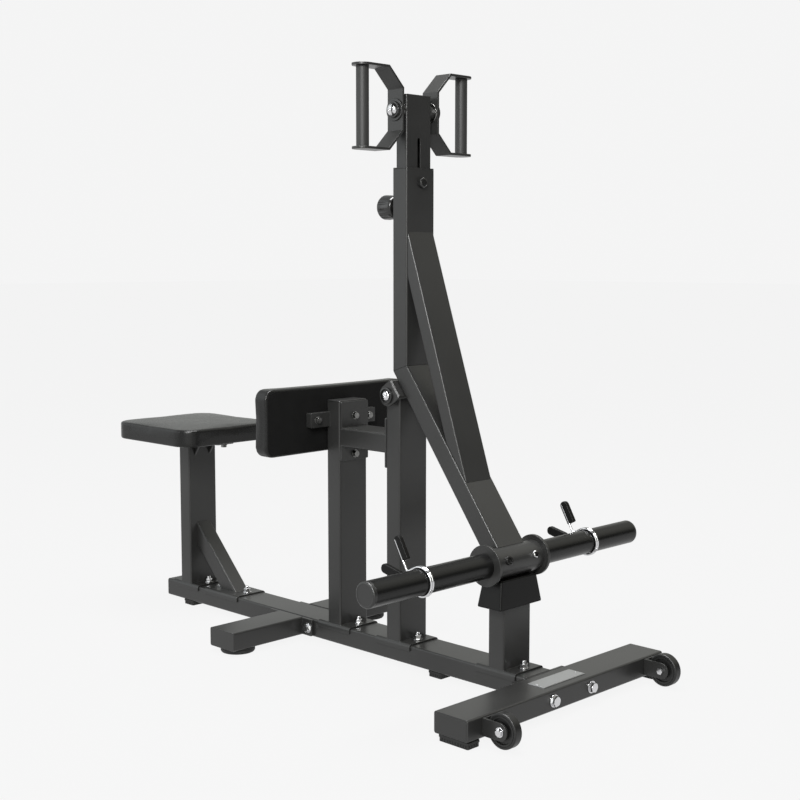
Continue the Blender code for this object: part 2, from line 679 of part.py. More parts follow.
def make_post(name, station, top):
    """An upright tube on its saddle."""
    weld = Vector((station, 0, SADDLE_TOP - SADDLE_PLATE / 2))
    post = tube(name, weld, Z, TUBE_WIDTH, TUBE_DEPTH, TUBE_WALL, TUBE_CORNER,
                (weld, Z), (Vector((station, 0, top)), Z))
    reach = TUBE_DEPTH / 2 + SADDLE_REACH
    add_saddle(post, station - reach, station + reach)
    return post


# Seat

SEAT_BASE = SEAT_HEIGHT - SEAT_THICKNESS
SEAT_BAR_TOP = SEAT_BASE - GAP


def make_seat_brace():
    """Square tube from the post's front face down to its own saddle."""
    angle = math.radians(BRACE_ANGLE)
    down = Vector((math.sin(angle), 0, -math.cos(angle)))
    front = Vector((math.cos(angle), 0, math.sin(angle)))
    face = SEAT_POST_STATION + TUBE_DEPTH / 2 + GAP
    middle = Vector((face, 0, BRACE_TOP)) - front * BRACE_WIDTH / 2
    weld = Vector((0, 0, SADDLE_TOP - SADDLE_PLATE / 2))
    brace = tube("seat_brace", middle, down, BRACE_WIDTH, BRACE_WIDTH, BRACE_WALL, TUBE_CORNER,
                 (Vector((face, 0, 0)), X), (weld, Z))
    half_foot = BRACE_WIDTH / 2 / math.cos(angle)
    foot = face + (BRACE_TOP - SADDLE_TOP) * math.tan(angle) - half_foot
    add_saddle(brace, foot - half_foot - BRACE_SADDLE_REACH, foot + half_foot + BRACE_SADDLE_REACH)


def make_seat_bracket():
    """Flat bar under the board, stiffened by four gussets that grip the post."""
    outline = rounded_rectangle(SEAT_BAR_LENGTH, SEAT_BAR_WIDTH, SEAT_BAR_CORNER)
    base = Vector((SEAT_POST_STATION, 0, SEAT_BAR_TOP - SEAT_BAR_PLATE))
    bar = plate("seat_bracket", base, Z, X, Y, outline, SEAT_BAR_PLATE)
    near = TUBE_DEPTH / 2 + GAP
    far = near + GUSSET_LENGTH
    weld = SEAT_BAR_PLATE / 2
    gusset = [(near, weld), (far, weld), (far, -GUSSET_TOE), (near, -GUSSET_DROP)]
    for end in (-1, 1):
        for side in (-1, 1):
            start = base + Y * (side * GUSSET_OFFSET - GUSSET_PLATE / 2)
            join(bar, plate(f"seat_gusset_{end + 2}_{side + 2}", start, Y, X * end, Z, gusset, GUSSET_PLATE))


def cushion_outline(width, depth, corner, inset, draw_in):
    """A rounded rectangle, moved in by an inset, whose long sides are drawn in."""
    radius = max(corner - inset, CUSHION_LEAST_CORNER)
    across = width / 2 - inset - radius
    deep = depth / 2 - inset - radius
    corners = [((across, deep), 0), ((-across, deep), 90), ((-across, -deep), 180), ((across, -deep), 270)]
    outline = []
    for index, (centre, first) in enumerate(corners):
        turn = arc(centre, radius, first, first + 90, CUSHION_CORNER_STEPS)
        outline += turn
        following, next_first = corners[(index + 1) % 4]
        target = arc(following, radius, next_first, next_first + 90, CUSHION_CORNER_STEPS)[0]
        normal = Vector((math.cos(math.radians(first + 90)), math.sin(math.radians(first + 90))))
        for step in range(1, CUSHION_SIDE_STEPS):
            share = step / CUSHION_SIDE_STEPS
            point = Vector(turn[-1]).lerp(Vector(target), share) - normal * draw_in * math.sin(math.pi * share)
            outline.append(tuple(point))
    return outline


def make_cushion(name, base, along, across, deep, width, depth, thickness, corner, crown, edge, border):
    """Upholstered foam on a board: round edges, drawn-in sides, a low crown, a pocket below."""
    def outline(inset, drawn=CUSHION_DRAW_IN):
        return cushion_outline(width, depth, corner, inset, drawn)

    pocket = BOARD_THICKNESS + GAP
    layers = [(outline(border, 0), pocket), (outline(border, 0), 0), (outline(CUSHION_SEAM), 0)]
    layers.append((outline(CUSHION_BULGE), CUSHION_SEAM))
    layers.append((outline(0), thickness * CUSHION_WIDEST))
    layers.append((outline(CUSHION_BULGE), thickness - edge))
    for angle in EDGE_ANGLES:
        turn = math.radians(angle)
        inset = CUSHION_BULGE + edge * (1 - math.cos(turn))
        layers.append((outline(inset), thickness - edge * (1 - math.sin(turn))))
    first = CUSHION_BULGE + edge
    room = min(width, depth) / 2 - edge - CUSHION_MIDDLE
    for share in CUSHION_CROWN_SHARES:
        rise = crown * math.sin(math.pi / 2 * share / CUSHION_CROWN_SHARES[-1])
        layers.append((outline(first + room * share, CUSHION_DRAW_IN * (1 - share)), thickness + rise))
    stack(name, base, along, across, deep, layers, finish="vinyl")


def make_board(name, base, along, across, deep, width, depth, corner, border):
    """Board let into the underside of a cushion."""
    outline = cushion_outline(width, depth, corner, border + GAP, 0)
    plate(name, base, along, across, deep, outline, BOARD_THICKNESS, finish="board")


def make_seat():
    make_post("seat_post", SEAT_POST_STATION, SEAT_BAR_TOP - SEAT_BAR_PLATE - GAP)
    make_seat_brace()
    make_seat_bracket()
    base = Vector((SEAT_STATION, 0, SEAT_BASE))
    make_board("seat_board", base, Z, X, Y, SEAT_LENGTH, SEAT_WIDTH, SEAT_CORNER, SEAT_BORDER)
    make_cushion("seat_cushion", base, Z, X, Y, SEAT_LENGTH, SEAT_WIDTH, SEAT_THICKNESS, SEAT_CORNER,
                 SEAT_CROWN, SEAT_EDGE, SEAT_BORDER)


# Chest pad

def make_pad():
    """Post with a flat bar let into its rear, a cap on top, and the pad on the bar."""
    steel_top = PAD_POST_TOP - POST_CAP_PLATE - GAP
    post = make_post("pad_post", PAD_POST_STATION, steel_top)
    bar_outline = rounded_rectangle(PAD_BAR_LENGTH, PAD_BAR_HEIGHT, PAD_BAR_CORNER)
    join(post, plate("pad_bar", Vector((PAD_BACK + GAP, 0, PAD_HEIGHT)), X, Y, Z, bar_outline, PAD_BAR_DEPTH))

    rim = rounded_rectangle(TUBE_DEPTH, TUBE_WIDTH, TUBE_CORNER)
    bore = 2 * (TUBE_WALL + GAP)
    clear_of_bar = PAD_HEIGHT + PAD_BAR_HEIGHT / 2 + GAP - steel_top
    plug_depth = min(END_CAP_PLUG, -clear_of_bar)
    plug = rounded_rectangle(TUBE_DEPTH - bore, TUBE_WIDTH - bore, INNER_CORNER)
    soft_rim = rounded_rectangle(TUBE_DEPTH - 2 * PLASTIC_EDGE, TUBE_WIDTH - 2 * PLASTIC_EDGE, TUBE_CORNER)
    stack("pad_post_cap", Vector((PAD_POST_STATION, 0, steel_top + GAP)), Z, X, Y,
          [(plug, -plug_depth), (plug, 0), (rim, 0), (rim, POST_CAP_PLATE - PLASTIC_EDGE),
           (soft_rim, POST_CAP_PLATE)], finish="plastic")

    base = Vector((PAD_BACK, 0, PAD_HEIGHT))
    make_board("pad_board", base, -X, Y, Z, PAD_WIDTH, PAD_FACE, PAD_CORNER, PAD_BORDER)
    make_cushion("pad_cushion", base, -X, Y, Z, PAD_WIDTH, PAD_FACE, PAD_THICKNESS, PAD_CORNER,
                 PAD_CROWN, PAD_EDGE, PAD_BORDER)


def make_link_beam():
    """Tube with a bolting plate at each end, between the pad post and the lever post."""
    rear = PAD_POST_STATION + TUBE_DEPTH / 2 + GAP
    front = LEVER_POST_STATION - TUBE_DEPTH / 2 - GAP
    middle = Vector((rear, 0, LINK_HEIGHT))
    beam = tube("link_beam", middle, X, TUBE_WIDTH, TUBE_DEPTH, TUBE_WALL, TUBE_CORNER,
                (Vector((rear + LINK_PLATE / 2, 0, 0)), X), (Vector((front - LINK_PLATE / 2, 0, 0)), X))
    for label, start, rise in (("rear", rear, LINK_PLATE_UP), ("front", front - LINK_PLATE, LINK_PLATE_UP_FRONT)):
        outline = rounded_rectangle(LINK_PLATE_WIDTH, rise + LINK_PLATE_DOWN, LINK_PLATE_CORNER)
        centre = Vector((start, 0, LINK_HEIGHT + (rise - LINK_PLATE_DOWN) / 2))
        join(beam, plate(f"link_plate_{label}", centre, X, Y, Z, outline, LINK_PLATE))
    drill(beam, "link_vent", Vector(((rear + front) / 2, 0, LINK_HEIGHT)), X, DRAIN_HOLE, 2 * LINK_SPAN)


# Lever post with the pivot's housing

HOUSING_HALF = BRACKET_INSIDE / 2 - PIVOT_BUSH_FLANGE - 2 * GAP
BUSH_OUTER = PIVOT_BOLT_DIAMETER / 2 + GAP + BUSH_WALL


def make_lever_post():
    """Tall post whose top carries the housing that the lever turns in."""
    post = make_post("lever_post", LEVER_POST_STATION, PIVOT_HEIGHT - PIVOT_POST_DROP)
    radius = PIVOT_HOUSING_DIAMETER / 2
    housing = turned("pivot_housing", PIVOT, Y, [(radius, -HOUSING_HALF), (radius, HOUSING_HALF)])
    join(post, housing)
    drill(post, "pivot", PIVOT, Y, 2 * (BUSH_OUTER + GAP), 3 * HOUSING_HALF, steps=ROUND_STEPS)


def make_pivot_bush(side, label):
    """Flanged plastic bush in the end of the housing."""
    bore = PIVOT_BOLT_DIAMETER / 2 + GAP
    flange = PIVOT_BUSH_FLANGE_DIAMETER / 2
    face = HOUSING_HALF + GAP
    turned(f"pivot_bush_{label}", PIVOT, Y * side,
           [(bore, HOUSING_HALF - PIVOT_BUSH_LENGTH), (BUSH_OUTER, HOUSING_HALF - PIVOT_BUSH_LENGTH),
            (BUSH_OUTER, face), (flange, face), (flange, face + PIVOT_BUSH_FLANGE),
            (bore, face + PIVOT_BUSH_FLANGE)], finish="plastic", closed=True)


# Bumper

def make_bumper():
    """Rubber block on its post, plugged into the tube, that the lever's sleeve rests on."""
    make_post("bumper_post", BAR.x, BUMPER_BASE_HEIGHT - GAP)
    bore = 2 * (TUBE_WALL + GAP)
    plug = rounded_rectangle(TUBE_DEPTH - bore, TUBE_WIDTH - bore, INNER_CORNER)
    low = rounded_rectangle(BUMPER_BASE[0] - BUMPER_BEVEL, BUMPER_BASE[1] - BUMPER_BEVEL, TUBE_CORNER)
    wide = rounded_rectangle(*BUMPER_BASE, TUBE_CORNER)
    high = rounded_rectangle(*BUMPER_TOP, TUBE_CORNER)
    flat = rounded_rectangle(BUMPER_TOP[0] - BUMPER_BEVEL, BUMPER_TOP[1] - BUMPER_BEVEL, TUBE_CORNER)
    stack("bumper", Vector((BAR.x, 0, BUMPER_BASE_HEIGHT)), Z, X, Y,
          [(plug, -BUMPER_PLUG), (plug, 0), (low, 0), (wide, BUMPER_BEVEL), (high, BUMPER_HEIGHT - BUMPER_BEVEL / 2),
           (flat, BUMPER_HEIGHT)], finish="rubber")


# Lever

def make_lever_tubes():
    """Upright and arm, mitred at the bend, and the brace across their front."""
    mitre = (ARM_DOWN - Z).normalized()
    top = (Vector((0, 0, UPRIGHT_TOP)), Z)
    upright = tube("lever_upright", BEND, Z, TUBE_WIDTH, TUBE_DEPTH, TUBE_WALL, TUBE_CORNER,
                   (BEND - mitre * GAP / 2, mitre), top, parent=lever_axis)
    rear = BEND.x - TUBE_DEPTH / 2
    front = BEND.x + TUBE_DEPTH / 2
    drill(upright, "upright_pin", Vector((rear, 0, PIN_HEIGHT)), X, PIN_DIAMETER + 2 * GAP, TUBE_DEPTH / 2)
    drill(upright, "upright_stop", Vector((front, 0, UPRIGHT_TOP - STOP_DROP)), X, STOP_DIAMETER + 2 * GAP,
          TUBE_DEPTH / 2)

    arm = tube("lever_arm", BEND, ARM_DOWN, TUBE_WIDTH, TUBE_DEPTH, TUBE_WALL, TUBE_CORNER,
               (BEND + mitre * GAP / 2, mitre), (BAR, ARM_DOWN), parent=lever_axis)
    drill(arm, "arm_sleeve", BAR, Y, SLEEVE_DIAMETER + 2 * GAP, 2 * TUBE_WIDTH, steps=WIDE_STEPS)

    angle = math.radians(LEVER_BRACE_ANGLE)
    down = Vector((math.sin(angle), 0, -math.cos(angle)))
    forward = Vector((math.cos(angle), 0, math.sin(angle)))
    face = Vector((front + GAP, 0, UPRIGHT_TOP - LEVER_BRACE_DROP))
    arm_face = BEND + ARM_FRONT * (TUBE_DEPTH / 2 + GAP)
    tube("lever_brace", face - forward * LEVER_BRACE_DEPTH / 2, down, LEVER_BRACE_WIDTH, LEVER_BRACE_DEPTH,
         LEVER_BRACE_WALL, TUBE_CORNER, (face, X), (arm_face, ARM_FRONT), parent=lever_axis)


def make_pivot_bracket():
    """Fork on the arm's rear face, whose two cheeks straddle the housing."""
    half = BRACKET_INSIDE / 2 + BRACKET_PLATE
    outline = [(WEB_OUTER, -BRACKET_NOSE), (WEB_OUTER, BRACKET_NOSE)]
    outline += arc((0, 0), BRACKET_NOSE, 90, 270, HALF_ROUND_STEPS)
    bracket = plate("pivot_bracket", PIVOT - Y * half, Y, ARM_FRONT, ARM_DOWN, outline, 2 * half, parent=lever_axis)
    opening = rounded_rectangle(BRACKET_INSIDE, 4 * BRACKET_NOSE, GAP)
    cut(bracket, plate("pivot_gap", PIVOT + ARM_FRONT * WEB_INNER, -ARM_FRONT, Y, ARM_DOWN, opening,
                       3 * BRACKET_NOSE, parent=lever_axis))
    drill(bracket, "bracket_bolt", PIVOT, Y, PIVOT_BOLT_DIAMETER + 2 * GAP, 3 * half)

    washer = (PIVOT_WASHER, PIVOT_WASHER_THICKNESS)
    nut_face = half + GAP
    shank = 2 * half + 2 * GAP + PIVOT_WASHER_THICKNESS + PIVOT_HEAD_HEIGHT
    bolt("pivot_bolt", PIVOT - Y * nut_face, -Y, PIVOT_BOLT_DIAMETER, shank, PIVOT_HEAD, PIVOT_HEAD_HEIGHT,
         washer=washer, finish="chrome", parent=lever_axis)
    bore = circle(PIVOT_BOLT_DIAMETER / 2 + GAP, HEX_STEPS)
    rim = circle(PIVOT_WASHER / 2, HEX_STEPS)
    nut_height = PIVOT_WASHER_THICKNESS + PIVOT_HEAD_HEIGHT
    stack("pivot_nut", PIVOT + Y * nut_face, Y, X, Y.cross(X),
          [(bore, 0), (rim, 0), (rim, PIVOT_WASHER_THICKNESS), (hexagon(PIVOT_HEAD), PIVOT_WASHER_THICKNESS),
           (hexagon(PIVOT_HEAD), nut_height), (bore, nut_height)], finish="chrome", parent=lever_axis, closed=True)


def make_weight_bar():
    """Flanged sleeve on the arm's end, with the plate bar locked in it, and the end caps."""
    half = SLEEVE_LENGTH / 2
    bore = BAR_DIAMETER / 2 + GAP
    disc = DISC_DIAMETER / 2
    shoulder = half - DISC_THICKNESS
    side = [(SLEEVE_DIAMETER / 2, shoulder), (disc - DISC_EDGE, shoulder), (disc, shoulder + DISC_EDGE),
            (disc, half - DISC_EDGE), (disc - DISC_EDGE, half), (bore, half)]
    profile = [(r, -distance) for r, distance in reversed(side)] + side
    sleeve = turned("bar_sleeve", BAR, Y, profile, steps=WIDE_STEPS, parent=lever_axis, closed=True)
    angle = math.radians(LOCK_BOLT_ANGLE)
    outwards = Vector((math.cos(angle), 0, math.sin(angle)))
    wall = (SLEEVE_DIAMETER - BAR_DIAMETER) / 2
    hole = circle(LOCK_BOLT_DIAMETER / 2 + GAP, HOLE_STEPS)
    for end in (-1, 1):
        place = BAR + Y * end * LOCK_BOLT_SPACING / 2 + outwards * SLEEVE_DIAMETER / 2
        cut(sleeve, stack(f"lock_hole_{end + 2}", place, outwards, Y, outwards.cross(Y),
                          [(hole, -2 * wall), (hole, 2 * wall)], parent=lever_axis))
    seat = SLEEVE_DIAMETER / 2 + GAP
    length = seat - bore - GAP
    face = BAR + Y * LOCK_BOLT_SPACING / 2 + outwards * seat
    chamfer = LOCK_BOLT_HEAD_HEIGHT / 5
    shank = circle(LOCK_BOLT_DIAMETER / 2, HEX_STEPS)
    head = hexagon(LOCK_BOLT_HEAD)
    stack("sleeve_lock_bolt", face, outwards, Y, outwards.cross(Y),
          [(shank, -length), (shank, 0), (head, 0), (head, LOCK_BOLT_HEAD_HEIGHT - chamfer),
           (circle(LOCK_BOLT_HEAD / 2 - chamfer, HEX_STEPS), LOCK_BOLT_HEAD_HEIGHT)], finish="chrome", parent=lever_axis)

    outer = BAR_DIAMETER / 2
    inner = outer - BAR_WALL
    end_face = BAR_LENGTH / 2 - BAR_CAP_LENGTH
    turned("weight_bar", BAR, Y, [(inner, -end_face), (outer, -end_face), (outer, end_face), (inner, end_face)],
           steps=WIDE_STEPS, parent=lever_axis, closed=True)
    plug = inner - GAP
    for sign, label in ((1, "left"), (-1, "right")):
        profile = [(plug - END_CAP_WALL, end_face), (plug - END_CAP_WALL, end_face - BAR_CAP_PLUG),
                   (plug, end_face - BAR_CAP_PLUG), (plug, end_face + GAP), (outer, end_face + GAP)]
        profile += arc((outer - BAR_CAP_ROUND, BAR_LENGTH / 2 - BAR_CAP_ROUND), BAR_CAP_ROUND, 0, 90, CORNER_STEPS)
        turned(f"bar_cap_{label}", BAR, Y * sign, profile, steps=WIDE_STEPS, finish="plastic", parent=lever_axis)


# Telescoping post, its guide, stop and pull pin

def make_post_guide():
    """Plastic collar in the upright's mouth, and the bolt that keeps the post in."""
    bore = rounded_rectangle(POST_WIDTH + 2 * GAP, POST_DEPTH + 2 * GAP, POST_CORNER)
    fit = 2 * (TUBE_WALL + GAP)
    sleeve = rounded_rectangle(TUBE_WIDTH - fit, TUBE_DEPTH - fit, TUBE_CORNER - TUBE_WALL)
    lip = rounded_rectangle(TUBE_WIDTH, TUBE_DEPTH, TUBE_CORNER)
    stack("post_guide_bush", Vector((BEND.x, 0, UPRIGHT_TOP + GAP)), Z, Y, X,
          [(bore, -BUSH_SLEEVE), (sleeve, -BUSH_SLEEVE), (sleeve, 0), (lip, 0), (lip, BUSH_LIP), (bore, BUSH_LIP)],
          finish="plastic", parent=lever_axis, closed=True)
    face = Vector((BEND.x + TUBE_DEPTH / 2 + GAP, 0, UPRIGHT_TOP - STOP_DROP))
    into_slot = (TUBE_DEPTH - POST_DEPTH) / 2 + POST_WALL + STOP_PAST_WALL
    bolt("stop_bolt", face, X, STOP_DIAMETER, into_slot, STOP_HEAD, STOP_HEAD_HEIGHT, finish="plastic",
         parent=lever_axis)


def make_pull_pin():
    """Threaded housing on the upright's rear face, and the fluted knob with its pin."""
    face = Vector((BEND.x - TUBE_DEPTH / 2 - GAP, 0, PIN_HEIGHT))
    bore = PIN_DIAMETER / 2 + GAP
    outer = PIN_HOUSING_DIAMETER / 2
    turned("pin_housing", face, -X, [(bore, 0), (outer, 0), (outer, PIN_HOUSING_LENGTH), (bore, PIN_HOUSING_LENGTH)],
           finish="powder_coat", parent=lever_axis, closed=True)

    steps = KNOB_FLUTE_STEPS * KNOB_FLUTES

    def fluted(radius, depth):
        outline = []
        for i in range(steps):
            angle = 2 * math.pi * i / steps
            r = radius - (depth if i % KNOB_FLUTE_STEPS == 0 else 0)
            outline.append((r * math.cos(angle), r * math.sin(angle)))
        return outline

    knob = KNOB_DIAMETER / 2
    front = PIN_HOUSING_LENGTH + GAP
    rear = front + KNOB_LENGTH
    nose = (TUBE_DEPTH - POST_DEPTH) / 2 + GAP + POST_WALL + PIN_PAST_WALL
    pin = PIN_DIAMETER / 2
    layers = [(circle(pin - PLASTIC_EDGE, steps), -nose), (circle(pin, steps), PLASTIC_EDGE - nose),
              (circle(pin, steps), front), (circle(knob - KNOB_FRONT_EDGE, steps), front),
              (circle(knob - KNOB_FRONT_STEP, steps), front + KNOB_FRONT_STEP),
              (fluted(knob, KNOB_FLUTE_DEPTH), front + KNOB_FRONT_EDGE),
              (fluted(knob, KNOB_FLUTE_DEPTH), rear - KNOB_EDGE)]
    for angle in EDGE_ANGLES:
        turn = math.radians(angle)
        layers.append((circle(knob - KNOB_EDGE * (1 - math.cos(turn)), steps), rear - KNOB_EDGE * (1 - math.sin(turn))))
    stack("pull_knob", face, -X, Y, Z, layers, finish="plastic", parent=pin_axis)


def make_handle_post():
    """Inner tube with a lid, a slot for the stop bolt, and a row of holes for the pin."""
    outer = rounded_rectangle(POST_WIDTH, POST_DEPTH, POST_CORNER)
    inner = rounded_rectangle(POST_WIDTH - 2 * POST_WALL, POST_DEPTH - 2 * POST_WALL, POST_CORNER - POST_WALL)
    post = stack("handle_post", Vector((BEND.x, 0, POST_TOP)), -Z, Y, X,
                 [(inner, POST_LID), (inner, POST_LENGTH), (outer, POST_LENGTH), (outer, 0)], parent=post_axis)
    lowest = Vector((BEND.x - POST_DEPTH / 2, 0, PIN_HEIGHT - HOLES_EACH_WAY * HOLE_PITCH))
    bore = PIN_DIAMETER / 2 + GAP
    holes = turned("handle_post_pin_holes", lowest, X, [(bore, -POST_DEPTH / 4), (bore, POST_DEPTH / 4)],
                   steps=HOLE_STEPS, parent=post_axis)
    row = holes.modifiers.new("row", "ARRAY")
    row.count = 2 * HOLES_EACH_WAY + 1
    row.use_relative_offset = False
    row.use_constant_offset = True
    row.constant_offset_displace = (0, 0, HOLE_PITCH)
    combine(post, holes, "DIFFERENCE", solver="MANIFOLD")

    slot = arc((0, -SLOT_TOP_DROP - SLOT_WIDTH / 2), SLOT_WIDTH / 2, 0, 180, HALF_ROUND_STEPS)
    slot += arc((0, SLOT_WIDTH / 2 - SLOT_TOP_DROP - SLOT_LENGTH), SLOT_WIDTH / 2, 180, 360, HALF_ROUND_STEPS)
    cut(post, plate("handle_post_slot", Vector((BEND.x + POST_WALL, 0, POST_TOP)), X, Y, Z, slot, POST_DEPTH,
                    parent=post_axis))

    inside = POST_WIDTH / 2 - POST_WALL / 2
    outside = STRAP_OFFSET - GAP
    boss = HANDLE_BOSS_DIAMETER / 2
    for side in (-1, 1):
        join(post, turned(f"handle_boss_{side + 2}", HANDLE_AXIS, Y * side, [(boss, inside), (boss, outside)],
                          parent=post_axis))
    drill(post, "handle_bolt", HANDLE_AXIS, Y, HANDLE_BOLT_DIAMETER + 2 * GAP, 3 * outside)


# Handles

def make_handle_axle():
    """Bolt through the post and both straps: a disc and dome at each end."""
    disc = AXLE_DISC_DIAMETER / 2
    dome = AXLE_DOME_DIAMETER / 2
    shank = HANDLE_BOLT_DIAMETER / 2
    face = STRAP_OFFSET + STRAP_PLATE + GAP
    dome_base = face + AXLE_DISC_THICKNESS
    shank_end = dome_base + AXLE_DOME_HEIGHT / 2
    head = [(disc, face), (disc, dome_base - DISC_EDGE), (disc - DISC_EDGE, dome_base), (dome, dome_base)]
    for angle in DOME_ANGLES:
        turn = math.radians(angle)
        head.append((dome * math.cos(turn), dome_base + AXLE_DOME_HEIGHT * math.sin(turn)))
    turned("handle_axle_bolt", HANDLE_AXIS, -Y, [(shank, -shank_end), (shank, face)] + head, finish="chrome",
           parent=post_axis)
    bore = shank + GAP
    turned("handle_axle_nut", HANDLE_AXIS, Y, [(bore, shank_end + GAP), (bore, face)] + head, finish="chrome",
           parent=post_axis)


def strap_outline(side):
    """Side view of the bent strap, in (y, z) about the handle's axis."""
    middle = STRAP_OFFSET + STRAP_PLATE / 2
    bends = [(HANDLE_REACH, -STRAP_MIDDLE - STRAP_STEP), (middle + STRAP_STEP, -STRAP_MIDDLE - STRAP_STEP),
             (middle, -STRAP_MIDDLE), (middle, STRAP_MIDDLE),
             (middle + STRAP_STEP, STRAP_MIDDLE + STRAP_STEP), (HANDLE_REACH, STRAP_MIDDLE + STRAP_STEP)]
    path = [Vector(bend) for bend in bends]
    edges = []
    for offset in (STRAP_PLATE / 2, -STRAP_PLATE / 2):
        edge = []
        for index, point in enumerate(path):
            before = (point - path[index - 1]).normalized() if index else (path[1] - point).normalized()
            after = (path[index + 1] - point).normalized() if index < len(path) - 1 else before
            mean = (before + after).normalized()
            normal = Vector((mean.y, -mean.x))
            edge.append(point + normal * offset / mean.dot(before))
        edges.append(edge)
    return [(side * point.x, point.y) for point in edges[0] + edges[1][::-1]]


def make_handle(side, label):
    """Bent steel strap that swivels on the axle, with a round grip between its flanges."""
    swivel = make_empty(f"handle_swivel_{label}", HANDLE_AXIS, post_axis)
    half = STRAP_WIDTH / 2
    strap = plate(f"handle_strap_{label}", HANDLE_AXIS - X * half, X, Y, Z, strap_outline(side), STRAP_WIDTH,
                  parent=swivel)
    span = STRAP_MIDDLE + STRAP_STEP + STRAP_PLATE
    tongue = [(0, -2 * half), (HANDLE_REACH - half, -half)]
    tongue += arc((HANDLE_REACH - half, 0), half, -90, 90, HALF_ROUND_STEPS)[1:]
    tongue.append((0, 2 * half))
    combine(strap, plate(f"strap_tongue_{label}", HANDLE_AXIS - Z * span, Z, Y * side, X, tongue, 2 * span,
                         parent=swivel), "INTERSECT")
    drill(strap, f"strap_{label}", HANDLE_AXIS + Y * side * STRAP_OFFSET, Y, HANDLE_BOLT_DIAMETER + 2 * GAP,
          4 * STRAP_PLATE)
    reach = STRAP_MIDDLE + STRAP_STEP - STRAP_PLATE / 2 - GAP
    outer = GRIP_DIAMETER / 2
    inner = outer - GRIP_WALL
    turned(f"handle_grip_{label}", HANDLE_AXIS + Y * side * GRIP_OFFSET, Z,
           [(inner, -reach), (outer, -reach), (outer, reach), (inner, reach)], parent=swivel, closed=True)


# Spring collars

def rounded_bend(before, corner, after, radius):
    """Points of an arc that rounds the corner between two straight stretches of wire."""
    first = (before - corner).normalized()
    second = (after - corner).normalized()
    half_angle = math.acos(max(-1, min(1, first.dot(second)))) / 2
    leg = radius / math.tan(half_angle)
    centre = corner + (first + second).normalized() * radius / math.sin(half_angle)
    start = corner + first * leg - centre
    end = corner + second * leg - centre
    turn = start.angle(end)
    points = []
    for step in range(BEND_STEPS + 1):
        share = step / BEND_STEPS
        mixed = (start * math.sin((1 - share) * turn) + end * math.sin(share * turn)) / math.sin(turn)
        points.append(centre + mixed)
    return points


def collar_wire():
    """The wire's route about the bar's axis, from the upper grip round the coil to the lower."""
    points = []
    first = COIL_START_ANGLE
    last = COIL_START_ANGLE - COIL_SWEEP
    half_width = COIL_PITCH * COIL_SWEEP / 360 / 2
    for corner, arm_angle, arm_length, radius, coil_angle, y in (
            (UPPER_CORNER, UPPER_ARM_ANGLE, UPPER_ARM_LENGTH, UPPER_BEND_RADIUS, first, -half_width),
            (LOWER_CORNER, LOWER_ARM_ANGLE, LOWER_ARM_LENGTH, LOWER_BEND_RADIUS, last, half_width)):
        arm = Vector((math.cos(math.radians(arm_angle)), 0, math.sin(math.radians(arm_angle))))
        turn = math.radians(coil_angle)
        bend = Vector((corner[0], y, corner[1]))
        leave = Vector((COIL_RADIUS * math.cos(turn), y, COIL_RADIUS * math.sin(turn)))
        tip = bend + arm * arm_length
        points.append([tip] + rounded_bend(tip, bend, leave, radius))
    steps = round(COIL_SWEEP / 360 * COIL_TURN_POINTS)
    coil = []
    for step in range(steps + 1):
        turn = math.radians(first - COIL_SWEEP * step / steps)
        y = half_width * (2 * step / steps - 1)
        coil.append(Vector((COIL_RADIUS * math.cos(turn), y, COIL_RADIUS * math.sin(turn))))
    return points[0] + coil + points[1][::-1]


def least_gap_to_itself(points, diameter):
    """Smallest clear distance between parts of a wire that aren't next to each other."""
    least = math.inf
    for i, first in enumerate(points):
        travelled = 0
        for j in range(i + 1, len(points)):
            travelled += (points[j] - points[j - 1]).length
            if travelled > 4 * diameter:
                least = min(least, (points[j] - first).length - diameter)
    return least


